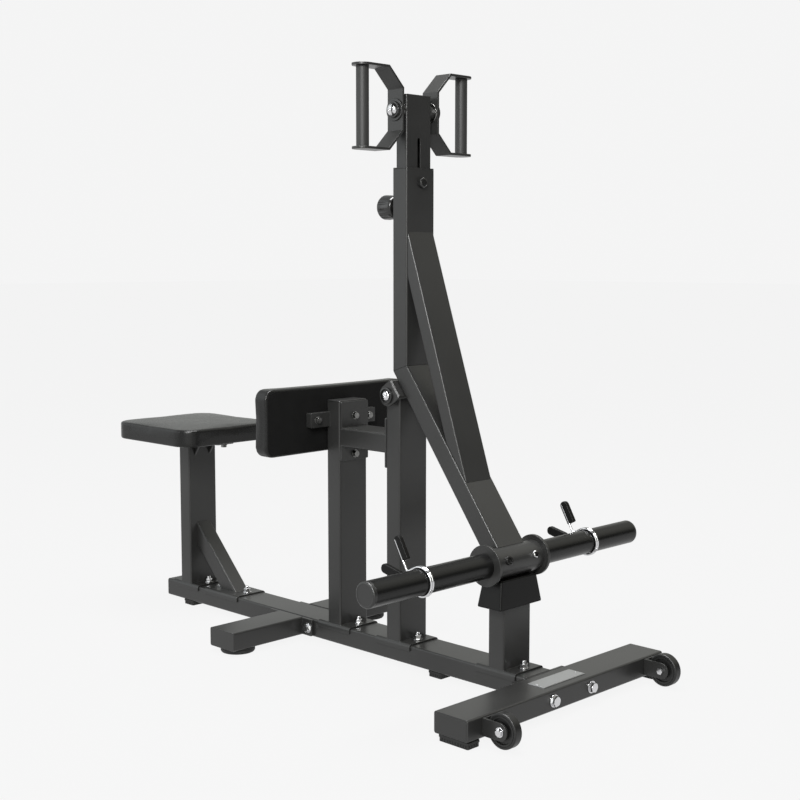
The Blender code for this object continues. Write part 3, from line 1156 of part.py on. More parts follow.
def make_collar(side, label, out):
    """Spring collar on the bar: one coiled wire whose two arms end in plastic grips."""
    centre = BAR + Y * side * out
    axis = make_empty(f"collar_axis_{label}", centre, lever_axis)
    route = collar_wire()
    curve = bpy.data.curves.new(f"collar_spring_{label}", "CURVE")
    curve.dimensions = "3D"
    curve.bevel_depth = WIRE_DIAMETER / 2
    curve.bevel_resolution = 1
    curve.use_fill_caps = True
    spline = curve.splines.new("POLY")
    spline.points.add(len(route) - 1)
    for point, place in zip(spline.points, route):
        point.co = (*(centre + place), 1)
    spring = bpy.data.objects.new(f"collar_spring_{label}", curve)
    bpy.context.scene.collection.objects.link(spring)
    finish_piece(spring, "chrome", axis)
    print(f"collar_spring_{label}: least gap to itself {least_gap_to_itself(route, WIRE_DIAMETER) * 1000:.2f} mm")

    half_width = COIL_PITCH * COIL_SWEEP / 360 / 2
    for name, corner, arm_angle, arm_length, y in (
            ("upper", UPPER_CORNER, UPPER_ARM_ANGLE, UPPER_ARM_LENGTH, -half_width),
            ("lower", LOWER_CORNER, LOWER_ARM_ANGLE, LOWER_ARM_LENGTH, half_width)):
        along = Vector((math.cos(math.radians(arm_angle)), 0, math.sin(math.radians(arm_angle))))
        across = Y.cross(along)
        wire = centre + Vector((corner[0], y, corner[1]))
        start = wire + along * COLLAR_GRIP_START + across * COLLAR_GRIP_OFFSET - Y * WIRE_DIAMETER / 4
        half = COLLAR_GRIP_WIDTH / 2
        outline = [(0, -half), (COLLAR_GRIP_LENGTH - half, -half)]
        outline += arc((COLLAR_GRIP_LENGTH - half, 0), half, -90, 90, HALF_ROUND_STEPS)[1:]
        outline.append((0, half))
        grip = plate(f"collar_grip_{name}_{label}", start, Y, along, across, outline, COLLAR_GRIP_THICKNESS,
                     finish="plastic", parent=axis)
        groove = WIRE_DIAMETER / 2 + GAP
        rings = [(circle(groove, HEX_STEPS), -WIRE_DIAMETER), (circle(groove, HEX_STEPS), arm_length + GAP)]
        cut(grip, stack(f"collar_groove_{name}_{label}", wire, along, Y, along.cross(Y), rings, parent=axis))


make_rail()
make_rail_end_cap()
make_crossbar()
for sign, side_name in ((1, "left"), (-1, "right")):
    make_crossbar_foot(sign, side_name)
    make_wheel(sign, side_name)
    make_stabiliser(sign, side_name)
    make_pivot_bush(sign, side_name)
    make_handle(sign, side_name)
make_rail_foot("rail_foot_rear", REAR_FOOT_STATION)
make_rail_foot("rail_foot_middle", MIDDLE_FOOT_STATION)
make_seat()
make_pad()
make_link_beam()
make_lever_post()
make_bumper()
make_lever_tubes()
make_pivot_bracket()
make_weight_bar()
make_post_guide()
make_pull_pin()
make_handle_post()
make_handle_axle()
make_collar(1, "left", COLLAR_OUT_LEFT)
make_collar(-1, "right", COLLAR_OUT_RIGHT)
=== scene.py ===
"""Looks of the plate-loaded row machine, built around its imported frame.

The file follows the machine as it is put together: the floor frame from the rail upwards, the
seat and the chest pad, the lever with its weight bar, and the handles on their post.
"""
import math

import bpy
from mathutils import Matrix, Vector


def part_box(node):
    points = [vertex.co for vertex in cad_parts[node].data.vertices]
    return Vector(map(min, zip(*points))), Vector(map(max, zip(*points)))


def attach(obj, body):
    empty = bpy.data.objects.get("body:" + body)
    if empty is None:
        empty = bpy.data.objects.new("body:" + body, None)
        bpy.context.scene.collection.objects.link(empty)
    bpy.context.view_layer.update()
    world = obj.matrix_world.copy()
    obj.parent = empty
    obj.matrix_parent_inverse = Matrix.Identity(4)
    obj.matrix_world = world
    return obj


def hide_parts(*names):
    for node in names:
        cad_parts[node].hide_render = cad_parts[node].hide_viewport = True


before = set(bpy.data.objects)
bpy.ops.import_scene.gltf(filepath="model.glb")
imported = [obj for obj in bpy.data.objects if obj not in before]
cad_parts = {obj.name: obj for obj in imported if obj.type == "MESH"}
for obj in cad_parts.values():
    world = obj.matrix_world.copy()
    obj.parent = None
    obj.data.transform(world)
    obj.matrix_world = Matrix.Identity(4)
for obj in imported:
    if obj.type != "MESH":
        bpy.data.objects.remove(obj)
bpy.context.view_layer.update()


# Studio
# A pale floor runs into a pale backdrop. Light comes from a wide lamp overhead, a weak one far to
# the left, a narrow one above the camera that draws the lever's edges, and soft patches of sky.
# The camera stands in front, to the machine's right, at waist height.
STUDIO_WHITE = 0.908
FLOOR_SIZE = 80.0
FLOOR_GLOW = 0.890
FLOOR_SHADE = 0.012
SKY_PATCHES = (((0.680, -0.680, 0.274), 0.80, 3.0), ((-0.686, -0.686, 0.243), 0.55, 1.42),
               ((-0.686, 0.686, 0.243), 0.55, 0.64), ((0.313, 0.702, 0.640), 0.85, 0.9))
SKY_KEY = (-0.686, -0.686, 0.243)
SKY_COOL = (0.96, 1.0, 1.01, 1)
SKY_WARM = (1.0, 0.985, 0.88, 1)
CAMERA_PLACE = (2.1035, -1.96485, 0.8388)
CAMERA_TURN = (84.035, 0.0, 44.742)
CAMERA_LENS = 60.72
CAMERA_SENSOR = 36.0


def set_inputs(node, **values):
    """Set a shader node's inputs by name, with a low line for each space."""
    for name, value in values.items():
        node.inputs[name.replace("_", " ")].default_value = value


def add_node(tree, kind, **values):
    """A shader node with some of its inputs set."""
    node = tree.nodes.new(kind)
    set_inputs(node, **values)
    return node


def connect(tree, *links):
    """Links, each from a node and its output to a node and its input."""
    for source, output, target, socket in links:
        tree.links.new(source.outputs[output], target.inputs[socket])


def math_node(tree, operation, *values):
    """A math node with its inputs set in order; None leaves one to a link."""
    node = tree.nodes.new("ShaderNodeMath")
    node.operation = operation
    for socket, value in zip(node.inputs, values):
        if value is not None:
            socket.default_value = value
    return node


def new_material(name, **values):
    """A material with its node tree and its shader, some of whose inputs are set."""
    material = bpy.data.materials.new(name)
    material.use_nodes = True
    shader = material.node_tree.nodes["Principled BSDF"]
    set_inputs(shader, **values)
    return material, material.node_tree, shader


def sky_patch(tree, direction, towards, start, strength):
    """A patch of the sky that fades out away from its middle."""
    nearness = tree.nodes.new("ShaderNodeVectorMath")
    nearness.operation = "DOT_PRODUCT"
    nearness.inputs[1].default_value = towards
    patch = add_node(tree, "ShaderNodeMapRange", From_Min=start, From_Max=1.0, To_Min=0.0, To_Max=strength)
    patch.interpolation_type = "SMOOTHSTEP"
    connect(tree, (direction, "Generated", nearness, 0), (nearness, "Value", patch, "Value"))
    return patch.outputs["Result"]


def studio_sky():
    """World light from the patches of sky, and plain pale where the camera sees it."""
    world = bpy.data.worlds.new("studio_sky")
    world.use_nodes = True
    tree = world.node_tree
    tree.nodes.clear()
    link = tree.links.new
    direction = tree.nodes.new("ShaderNodeTexCoord")
    strength = None
    for towards, start, peak in SKY_PATCHES:
        patch = sky_patch(tree, direction, towards, start, peak)
        if strength is None:
            strength = patch
        else:
            total = math_node(tree, "ADD")
            link(strength, total.inputs[0])
            link(patch, total.inputs[1])
            strength = total.outputs[0]
    tint = tree.nodes.new("ShaderNodeMix")
    tint.data_type = "RGBA"
    set_inputs(tint, A=SKY_WARM, B=SKY_COOL)
    lit = tree.nodes.new("ShaderNodeBackground")
    plain = add_node(tree, "ShaderNodeBackground", Color=(STUDIO_WHITE, STUDIO_WHITE, STUDIO_WHITE, 1))
    path = tree.nodes.new("ShaderNodeLightPath")
    choice = tree.nodes.new("ShaderNodeMixShader")
    output = tree.nodes.new("ShaderNodeOutputWorld")
    link(sky_patch(tree, direction, SKY_KEY, -1.0, 1.0), tint.inputs["Factor"])
    link(strength, lit.inputs["Strength"])
    connect(tree, (tint, "Result", lit, "Color"), (path, "Is Camera Ray", choice, "Fac"),
            (lit, 0, choice, 1), (plain, 0, choice, 2), (choice, 0, output, "Surface"))
    bpy.context.scene.world = world


def softbox(name, place, target, width, height, watts):
    """A rectangular lamp aimed at a point."""
    bpy.ops.object.light_add(type="AREA", location=place)
    lamp = bpy.context.object
    lamp.name = name
    lamp.data.shape = "RECTANGLE"
    lamp.data.size = width
    lamp.data.size_y = height
    lamp.data.energy = watts
    lamp.rotation_euler = (Vector(target) - Vector(place)).to_track_quat("-Z", "Y").to_euler()


bpy.ops.object.select_all(action="DESELECT")
bpy.context.scene.view_settings.view_transform = "Standard"
studio_sky()
softbox("top_softbox", (0.0, 0.0, 4.2), (0.2, 0.0, 0.4), 2.4, 2.0, 355)
softbox("left_softbox", (-2.4, -4.4, 2.0), (0.1, 0.0, 0.5), 1.8, 3.0, 18)
softbox("edge_light", (1.91, -2.51, 2.25), (0.15, 0.0, 0.55), 0.5, 1.3, 125)

bpy.ops.mesh.primitive_plane_add(size=FLOOR_SIZE)
floor = bpy.context.object
floor.name = "studio_floor"
floor.data.materials.append(new_material(
    "studio_floor_paint", Base_Color=(FLOOR_SHADE, FLOOR_SHADE, FLOOR_SHADE, 1), Roughness=1.0,
    Specular_IOR_Level=0.0, Emission_Color=(1, 1, 1, 1), Emission_Strength=FLOOR_GLOW)[0])

bpy.ops.object.camera_add(location=CAMERA_PLACE, rotation=[math.radians(angle) for angle in CAMERA_TURN])
camera = bpy.context.object
camera.data.lens = CAMERA_LENS
camera.data.sensor_width = CAMERA_SENSOR
bpy.context.scene.camera = camera


# Main rail
# The long floor tube of 80 x 40 mm steel that everything is bolted to, with a flange welded on
# its front end. Like all the steel it is powder coated in satin graphite, with a fine orange peel.
COAT_COLOUR = (0.0147, 0.0147, 0.0143, 1)
PLATE_EDGE = 0.0006
CORNER_LIMIT = 35.0
SMOOTH_LIMIT = 50.0
WELD_REACH = 0.00002
FLAT_LIMIT = 0.4


def add_socket(group, name, kind, way, value=None):
    """A named input or output of a node group."""
    socket = group.interface.new_socket(name=name, in_out=way, socket_type=kind)
    if value is not None:
        socket.default_value = value


def surface_grain_group():
    """Slow change of tone over a surface, and a fine grain for its roughness and height."""
    group = bpy.data.node_groups.new("surface_grain", "ShaderNodeTree")
    add_socket(group, "Colour", "NodeSocketColor", "INPUT", (0.1, 0.1, 0.1, 1))
    for name, value in (("Tone", 0.1), ("Patch Scale", 8.0), ("Grain Scale", 900.0), ("Roughness", 0.45),
                        ("Spread", 0.06)):
        add_socket(group, name, "NodeSocketFloat", "INPUT", value)
    add_socket(group, "Colour", "NodeSocketColor", "OUTPUT")
    add_socket(group, "Roughness", "NodeSocketFloat", "OUTPUT")
    add_socket(group, "Height", "NodeSocketFloat", "OUTPUT")
    given = group.nodes.new("NodeGroupInput")
    result = group.nodes.new("NodeGroupOutput")
    place = group.nodes.new("ShaderNodeTexCoord")
    patches = add_node(group, "ShaderNodeTexNoise", Detail=3.0)
    grain = add_node(group, "ShaderNodeTexNoise", Detail=2.0)
    tone = add_node(group, "ShaderNodeMapRange", From_Min=0.3, From_Max=0.7)
    less = math_node(group, "SUBTRACT", 1.0)
    more = math_node(group, "ADD", 1.0)
    shade = group.nodes.new("ShaderNodeVectorMath")
    shade.operation = "SCALE"
    rough = add_node(group, "ShaderNodeMapRange", From_Min=0.25, From_Max=0.75)
    lowest = math_node(group, "SUBTRACT")
    highest = math_node(group, "ADD")
    mixed = math_node(group, "MULTIPLY_ADD", None, 0.5)
    half = math_node(group, "MULTIPLY", None, 0.5)
    connect(group, (place, "Object", patches, "Vector"), (place, "Object", grain, "Vector"),
            (given, "Patch Scale", patches, "Scale"), (given, "Grain Scale", grain, "Scale"),
            (given, "Tone", less, 1), (given, "Tone", more, 1), (patches, "Fac", tone, "Value"),
            (less, 0, tone, "To Min"), (more, 0, tone, "To Max"), (given, "Colour", shade, 0),
            (tone, "Result", shade, "Scale"), (shade, "Vector", result, "Colour"),
            (given, "Roughness", lowest, 0), (given, "Spread", lowest, 1), (given, "Roughness", highest, 0),
            (given, "Spread", highest, 1), (patches, "Fac", mixed, 0), (grain, "Fac", half, 0),
            (half, 0, mixed, 2), (mixed, 0, rough, "Value"), (lowest, 0, rough, "To Min"),
            (highest, 0, rough, "To Max"), (rough, "Result", result, "Roughness"),
            (grain, "Fac", result, "Height"))
    return group


surface_grain = surface_grain_group()


def grained_material(name, colour, tone, patch, grain, roughness, spread, bump, depth, metallic=0.0,
                     specular=0.5):
    """A finish whose tone, roughness and relief come from the surface grain."""
    material, tree, shader = new_material(name, Metallic=metallic, Specular_IOR_Level=specular)
    finish = tree.nodes.new("ShaderNodeGroup")
    finish.node_tree = surface_grain
    set_inputs(finish, Colour=colour, Tone=tone, Patch_Scale=patch, Grain_Scale=grain, Roughness=roughness,
               Spread=spread)
    relief = add_node(tree, "ShaderNodeBump", Strength=bump, Distance=depth)
    connect(tree, (finish, "Colour", shader, "Base Color"), (finish, "Roughness", shader, "Roughness"),
            (finish, "Height", relief, "Height"), (relief, "Normal", shader, "Normal"))
    return material


coat = grained_material("graphite_powder_coat", COAT_COLOUR, tone=0.10, patch=7.0, grain=800.0,
                        roughness=0.33, spread=0.05, bump=0.16, depth=0.0003, specular=0.38)


def take(piece):
    """Make a piece the only one that operators act on."""
    if bpy.context.mode != "OBJECT":
        bpy.ops.object.mode_set(mode="OBJECT")
    bpy.ops.object.select_all(action="DESELECT")
    piece.select_set(True)
    bpy.context.view_layer.objects.active = piece


def keep_modifiers(piece):
    """Apply all of a piece's modifiers, in order."""
    take(piece)
    for modifier in list(piece.modifiers):
        bpy.ops.object.modifier_apply(modifier=modifier.name)


def round_edges(piece, width, segments=3):
    """Take the sharpness off every steep edge."""
    bevel = piece.modifiers.new("edge_round", "BEVEL")
    bevel.width = width
    bevel.segments = segments
    bevel.limit_method = "ANGLE"
    bevel.angle_limit = math.radians(CORNER_LIMIT)
    bevel.use_clamp_overlap = False
    keep_modifiers(piece)


def finish_piece(piece, body, slot, material, *replaced, soft=False):
    """Smooth a piece, give it its finish, and hang it on the body that carries it."""
    take(piece)
    bpy.ops.object.transform_apply(location=True, rotation=True, scale=True)
    bpy.ops.object.shade_smooth_by_angle(angle=math.radians(SMOOTH_LIMIT))
    if not soft:
        flat_faces = piece.modifiers.new("flat_faces", "WEIGHTED_NORMAL")
        flat_faces.mode = "FACE_AREA"
        flat_faces.keep_sharp = True
        keep_modifiers(piece)
    piece.data.materials.clear()
    piece.data.materials.append(material)
    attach(piece, body)
    if replaced:
        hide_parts(*replaced)
    return piece


def welded_copy(node):
    """A copy of a CAD node whose loose triangles are joined into whole flat faces."""
    piece = bpy.data.objects.new(f"{node}_finish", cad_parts[node].data.copy())
    bpy.context.scene.collection.objects.link(piece)
    take(piece)
    bpy.ops.object.mode_set(mode="EDIT")
    bpy.ops.mesh.select_all(action="SELECT")
    bpy.ops.mesh.remove_doubles(threshold=WELD_REACH)
    bpy.ops.mesh.dissolve_limited(angle_limit=math.radians(FLAT_LIMIT))
    bpy.ops.object.mode_set(mode="OBJECT")
    return piece


def dressed(node, body, slot, material, edge=PLATE_EDGE):
    """Finish a CAD node in its own material, with its edges rounded."""
    piece = welded_copy(node)
    round_edges(piece, edge)
    return finish_piece(piece, body, slot, material, node)


def coated_steel(node, body="frame", edge=PLATE_EDGE):
    """Finish a steel node in powder coat, with its cut edges rounded by the coat."""
    return dressed(node, body, "powder_coat", coat, edge)


coated_steel("main_rail")


# Rail end cap and rail feet
# The rail's rear end is shut by a push-in cap of black plastic. Two moulded rubber blocks under
# the rail keep it off the floor, and their lower edge is ribbed so that it grips.
RUBBER_COLOUR = (0.0045, 0.0045, 0.0043, 1)
PLASTIC_COLOUR = (0.0080, 0.0080, 0.0078, 1)
MOULDED_EDGE = 0.0008
RIB_PITCH = 0.0062
RIB_WIDTH = 0.0032
RIB_DEPTH = 0.0009
RIB_START = 0.0006
RIB_LAP = 0.0005
FOOT_LIP = 0.0045
FOOT_ROUND = 0.003
FOOT_EDGE = 0.0005
ALIGNED = 0.99
LEVEL = 0.00001

rubber = grained_material("black_rubber", RUBBER_COLOUR, tone=0.12, patch=20.0, grain=1500.0,
                          roughness=0.62, spread=0.08, bump=0.30, depth=0.0003, specular=0.4)
gloss = grained_material("glossy_black_plastic", PLASTIC_COLOUR, tone=0.06, patch=15.0, grain=1800.0,
                         roughness=0.20, spread=0.04, bump=0.06, depth=0.0002)
plastic = grained_material("black_plastic", PLASTIC_COLOUR, tone=0.06, patch=15.0, grain=2200.0,
                           roughness=0.36, spread=0.05, bump=0.15, depth=0.0002)


def select_where(piece, element, wanted):
    """Select a mesh's faces or edges by their place, and stay in edit mode."""
    take(piece)
    bpy.ops.object.mode_set(mode="EDIT")
    bpy.ops.mesh.select_mode(type=element)
    bpy.ops.mesh.select_all(action="DESELECT")
    bpy.ops.object.mode_set(mode="OBJECT")
    chosen = piece.data.polygons if element == "FACE" else piece.data.edges
    for item in chosen:
        item.select = wanted(item)
    bpy.ops.object.mode_set(mode="EDIT")


def bevel_where(piece, wanted, width, segments):
    """Bevel those of a piece's edges whose two ends pass a test."""
    points = piece.data.vertices
    select_where(piece, "EDGE", lambda edge: wanted(*(points[index].co for index in edge.vertices)))
    bpy.ops.mesh.bevel(offset=width, segments=segments, affect="EDGES")
    bpy.ops.object.mode_set(mode="OBJECT")


def block(name, lowest, highest):
    """A square block between two corners."""
    lowest = Vector(lowest)
    highest = Vector(highest)
    bpy.ops.object.select_all(action="DESELECT")
    bpy.ops.mesh.primitive_cube_add(size=1, location=(lowest + highest) / 2, scale=highest - lowest)
    piece = bpy.context.object
    piece.name = name
    bpy.ops.object.transform_apply(location=True, rotation=True, scale=True)
    return piece


def bevel_corners(piece, along, radius, segments=4):
    """Round the block's corners that run along one axis."""
    along = Vector(along)
    bevel_where(piece, lambda start, end: abs((end - start).normalized().dot(along)) > ALIGNED, radius,
                segments)


def repeat(piece, step, count):
    """A row of a piece, as one mesh."""
    row = piece.modifiers.new("row", "ARRAY")
    row.count = count
    row.use_relative_offset = False
    row.use_constant_offset = True
    row.constant_offset_displace = step
    keep_modifiers(piece)


def put_together(pieces, name):
    """Join meshes into the first one."""
    take(pieces[0])
    for piece in pieces[1:]:
        piece.select_set(True)
    bpy.ops.object.join()
    pieces[0].name = name
    return pieces[0]


def ribbed_foot(node):
    """A rubber block whose lower part is set back and ribbed all round."""
    low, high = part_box(node)
    inset = Vector((RIB_DEPTH, RIB_DEPTH, 0))
    lip = block("foot_lip", (low.x, low.y, high.z - FOOT_LIP), high)
    bevel_corners(lip, (0, 0, 1), FOOT_ROUND)
    core = block("foot_core", low + inset, (high.x - RIB_DEPTH, high.y - RIB_DEPTH, high.z - FOOT_LIP / 2))
    bevel_corners(core, (0, 0, 1), FOOT_ROUND)
    parts = [lip, core]
    top = high.z - FOOT_LIP + RIB_LAP
    for axis, length in ((0, high.x - low.x), (1, high.y - low.y)):
        count = int((length - 2 * FOOT_ROUND - RIB_WIDTH) / RIB_PITCH) + 1
        start = (low[axis] + high[axis]) / 2 - (count - 1) * RIB_PITCH / 2
        for outer in (low[1 - axis], high[1 - axis] - 2 * RIB_DEPTH):
            first = Vector((0, 0, low.z + RIB_START))
            last = Vector((0, 0, top))
            first[axis] = start - RIB_WIDTH / 2
            last[axis] = start + RIB_WIDTH / 2
            first[1 - axis] = outer
            last[1 - axis] = first[1 - axis] + 2 * RIB_DEPTH
            rib = block("foot_rib", first, last)
            step = Vector((0, 0, 0))
            step[axis] = RIB_PITCH
            repeat(rib, step, count)
            parts.append(rib)
    foot = put_together(parts, f"{node}_rubber")
    round_edges(foot, FOOT_EDGE)
    return finish_piece(foot, "frame", "rubber", rubber, node)


dressed("rail_end_cap", "frame", "plastic", plastic, MOULDED_EDGE)
ribbed_foot("rail_foot_rear")
ribbed_foot("rail_foot_middle")


# Fasteners
# Bright zinc bolts hold the posts, the crossbar and the stabilisers: a hex head whose corners are
# turned off by a chamfer, on a stamped washer. Each size is modelled once and copied.
CHROME_COLOUR = (0.62, 0.62, 0.63, 1)
# The same zinc darkened: painted shade for the bolts and washers that sit in shadow.
SHADE_DARKENED_ZINC_COLOUR = (0.19, 0.19, 0.185, 1)
HEAD_CHAMFER = 0.10
HEAD_EDGE = 0.012
CORNER_SPARE = 1.01
STUD_DOME = 0.0014
OVERRUN = 0.001

chrome = grained_material("bright_chrome", CHROME_COLOUR, tone=0.04, patch=60.0, grain=1200.0,
                          roughness=0.14, spread=0.05, bump=0.04, depth=0.0001, metallic=1.0)
shade_darkened_zinc = grained_material("shade_darkened_zinc", SHADE_DARKENED_ZINC_COLOUR, tone=0.25, patch=160.0, grain=1600.0,
                             roughness=0.24, spread=0.10, bump=0.10, depth=0.0002, metallic=1.0)


def turned_blank(name, start, along, radius, length, sides=64):
    """A round blank that starts at a point and runs along a direction."""
    along = Vector(along)
    middle = Vector(start) + along * length / 2
    turn = along.to_track_quat("Z", "Y").to_euler()
    bpy.ops.object.select_all(action="DESELECT")
    bpy.ops.mesh.primitive_cylinder_add(vertices=sides, radius=radius, depth=length, location=middle,
                                        rotation=turn)
    piece = bpy.context.object
    piece.name = name
    bpy.ops.object.transform_apply(location=True, rotation=True, scale=True)
    return piece


def shape_end(piece, towards, steps):
    """Shape a blank's end face in steps of how much narrower and how much further on it goes."""
    towards = Vector(towards)
    facing = [face for face in piece.data.polygons if face.normal.dot(towards) > ALIGNED]
    last = max(face.center.dot(towards) for face in facing) - LEVEL

    def at_end(face):
        return face.normal.dot(towards) > ALIGNED and face.center.dot(towards) > last

    select_where(piece, "FACE", at_end)
    for narrower, further in steps:
        if narrower:
            bpy.ops.mesh.inset(thickness=narrower, depth=further)
        else:
            bpy.ops.mesh.extrude_region_move(TRANSFORM_OT_translate={"value": towards * further})
    bpy.ops.object.mode_set(mode="OBJECT")


def dome(radius, height, segments=6, flat=0.12):
    """End steps that close a blank with a dome, down to a small flat."""
    steps = []
    last = math.acos(flat)
    for index in range(segments):
        before = last * index / segments
        after = last * (index + 1) / segments
        steps.append((radius * (math.cos(before) - math.cos(after)),
                      height * (math.sin(after) - math.sin(before))))
    return steps


def quarter_round(radius, segments=5):
    """End steps that round a blank's rim."""
    return dome(radius, radius, segments, flat=0.0)


def combine(piece, tool, operation):
    """Keep what a tool leaves of a piece."""
    step = piece.modifiers.new("cut", "BOOLEAN")
    step.operation = operation
    step.solver = "EXACT"
    step.object = tool
    keep_modifiers(piece)
    bpy.data.objects.remove(tool)


def hex_bolt(name, across, height, washer, washer_height):
    """A hex head on its washer, standing at the origin and pointing up."""
    base = Vector((0, 0, washer_height))
    corner = across / math.sqrt(3)
    head = turned_blank("hex_head", base, (0, 0, 1), corner, height, sides=6)
    round_bar = turned_blank("round_bar", base - Vector((0, 0, OVERRUN)), (0, 0, 1), corner * CORNER_SPARE,
                             height - across * HEAD_CHAMFER / 2 + OVERRUN, sides=48)
    shape_end(round_bar, (0, 0, 1), [(across * HEAD_CHAMFER, across * HEAD_CHAMFER / 2)])
    combine(head, round_bar, "INTERSECT")
    round_edges(head, across * HEAD_EDGE, segments=1)
    ring = turned_blank("washer", (0, 0, 0), (0, 0, 1), washer / 2, washer_height, sides=48)
    round_edges(ring, washer_height / 5)
    return put_together([head, ring], name)


def stud_nut(name, across, height, washer, washer_height, stud, stud_height):
    """A nut on its washer, with the rounded end of the stud standing out of it."""
    nut = hex_bolt("nut", across, height, washer, washer_height)
    end = turned_blank("stud_end", (0, 0, washer_height + height - OVERRUN), (0, 0, 1), stud / 2, stud_height,
                       sides=32)
    shape_end(end, (0, 0, 1), dome(stud / 2, STUD_DOME, segments=4))
    return put_together([nut, end], name)


def copied(piece, name):
    """A copy of a piece, with a mesh of its own."""
    twin = piece.copy()
    twin.data = piece.data.copy()
    twin.name = name
    bpy.context.scene.collection.objects.link(twin)
    return twin


def fix(master, name, place, outwards, body="frame", turn=0.0, metal=chrome):
    """A copy of a bolt, driven home against a face."""
    piece = copied(master, name)
    aim = Vector(outwards).to_track_quat("Z", "Y").to_matrix().to_4x4()
    piece.matrix_world = Matrix.Translation(place) @ aim @ Matrix.Rotation(math.radians(turn), 4, "Z")
    return finish_piece(piece, body, "chrome", metal)


saddle_bolt = stud_nut("saddle_bolt", 0.0140, 0.0080, 0.021, 0.0018, 0.0086, 0.0055)
wide_bolt = hex_bolt("wide_bolt", 0.0175, 0.0070, 0.024, 0.0020)
flange_bolt = hex_bolt("flange_bolt", 0.0150, 0.0065, 0.022, 0.0018)
small_bolt = hex_bolt("small_bolt", 0.0125, 0.0055, 0.0170, 0.0014)


# Stabilisers
# Two stub tubes of the rail's own section, each welded to a flange that is bolted to the rail's
# side. A round rubber foot is pushed on near each outer end.
SIDES = ((1, "left"), (-1, "right"))
FLANGE_FACE = 0.0463
FLANGE_BOLT_HEIGHT = 0.0315
FLANGE_BOLT_STATIONS = (("front", -0.0835), ("rear", -0.2005))
FOOT_BODY_START = 0.0030
FOOT_BODY_HEIGHT = 0.0055
FOOT_BODY_INSET = 0.0005
FOOT_RIM_START = 0.0095
FOOT_RIM_HEIGHT = 0.0025
FOOT_RIM_EDGE = 0.0004
FOOT_GROOVE = 0.0012
FOOT_TOP_STEPS = [(FOOT_GROOVE, 0.0), (0, 0.0010), (0.0004, 0.0004)]
FOOT_SOLE_STEPS = [(0.0006, 0.0012), (0.0012, 0.0018), (0.004, 0.0), (0.0006, -0.0010)]

for side, label in SIDES:
    coated_steel(f"stabiliser_{label}")
    for end, station in FLANGE_BOLT_STATIONS:
        fix(flange_bolt, f"flange_bolt_{label}_{end}", (station, side * FLANGE_FACE, FLANGE_BOLT_HEIGHT),
            (0, side, 0), turn=12)
    low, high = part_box(f"stabiliser_foot_{label}")
    middle = (low + high) / 2
    radius = (high.x - low.x) / 2
    foot = turned_blank("round_foot", (middle.x, middle.y, FOOT_BODY_START), (0, 0, 1),
                        radius - FOOT_BODY_INSET, FOOT_BODY_HEIGHT, sides=96)
    shape_end(foot, (0, 0, 1), FOOT_TOP_STEPS)
    shape_end(foot, (0, 0, -1), FOOT_SOLE_STEPS)
    rim = turned_blank("foot_rim", (middle.x, middle.y, FOOT_RIM_START), (0, 0, 1), radius, FOOT_RIM_HEIGHT,
                       sides=96)
    shape_end(rim, (0, 0, -1), [(0.0006, 0.0004)])
    foot = put_together([foot, rim], f"stabiliser_foot_{label}_rubber")
    round_edges(foot, FOOT_RIM_EDGE)
    finish_piece(foot, "frame", "rubber", rubber, f"stabiliser_foot_{label}")


# Front crossbar
# The cross tube under the lever's end, shut by welded plates and held to the rail's flange by two
# bolts. A bare plate of brushed aluminium is riveted on top, and each end stands on a ribbed foot.
CROSSBAR_FACE = 0.61049
CROSSBAR_BOLT_ASIDE = 0.057
CROSSBAR_BOLT_HEIGHT = 0.0323
CROSSBAR_END = 0.2930
END_PLATE_X = (0.5345, 0.6065)
END_PLATE_Y = (-0.0004, 0.0006)
END_PLATE_Z = (0.0163, 0.0483)
END_PLATE_CORNER = 0.002
END_PLATE_EDGE = 0.0004
ALUMINIUM_COLOUR = (0.42, 0.425, 0.43, 1)
BADGE_X = (0.5525, 0.5915)
BADGE_Y = (-0.0625, 0.0620)
BADGE_Z = (0.0521, 0.0523)
BADGE_TOP = 0.0009
BADGE_RIM = 0.0016
BADGE_PANEL = 0.0003
BADGE_CORNER = 0.0012
BADGE_EDGE = 0.00015
RIVET_PLACE = (0.572, -0.0580, 0.0530)
RIVET_SPACING = 0.1155
RIVET_RADIUS = 0.0016
RIVET_RIM = 0.0006
RIVET_DOME = 0.0008

coated_steel("front_crossbar")
ribbed_foot("crossbar_foot_left")
ribbed_foot("crossbar_foot_right")
for side, label in SIDES:
    fix(wide_bolt, f"crossbar_bolt_{label}", (CROSSBAR_FACE, side * CROSSBAR_BOLT_ASIDE, CROSSBAR_BOLT_HEIGHT),
        (1, 0, 0), turn=18 * side)
    end_plate = block(f"crossbar_end_plate_{label}",
                      (END_PLATE_X[0], side * CROSSBAR_END + END_PLATE_Y[0], END_PLATE_Z[0]),
                      (END_PLATE_X[1], side * CROSSBAR_END + END_PLATE_Y[1], END_PLATE_Z[1]))
    bevel_corners(end_plate, (0, 1, 0), END_PLATE_CORNER)
    round_edges(end_plate, END_PLATE_EDGE)
    finish_piece(end_plate, "frame", "powder_coat", coat)

aluminium, tree, shader = new_material("brushed_aluminium", Base_Color=ALUMINIUM_COLOUR, Metallic=1.0)
place = tree.nodes.new("ShaderNodeTexCoord")
stretch = add_node(tree, "ShaderNodeMapping", Scale=(60, 2500, 60))
brushing = add_node(tree, "ShaderNodeTexNoise", Scale=1.0, Detail=4.0)
shine = add_node(tree, "ShaderNodeMapRange", To_Min=0.25, To_Max=0.5)
relief = add_node(tree, "ShaderNodeBump", Strength=0.15, Distance=0.0002)
connect(tree, (place, "Object", stretch, "Vector"), (stretch, "Vector", brushing, "Vector"),
        (brushing, "Fac", shine, "Value"), (shine, "Result", shader, "Roughness"),
        (brushing, "Fac", relief, "Height"), (relief, "Normal", shader, "Normal"))

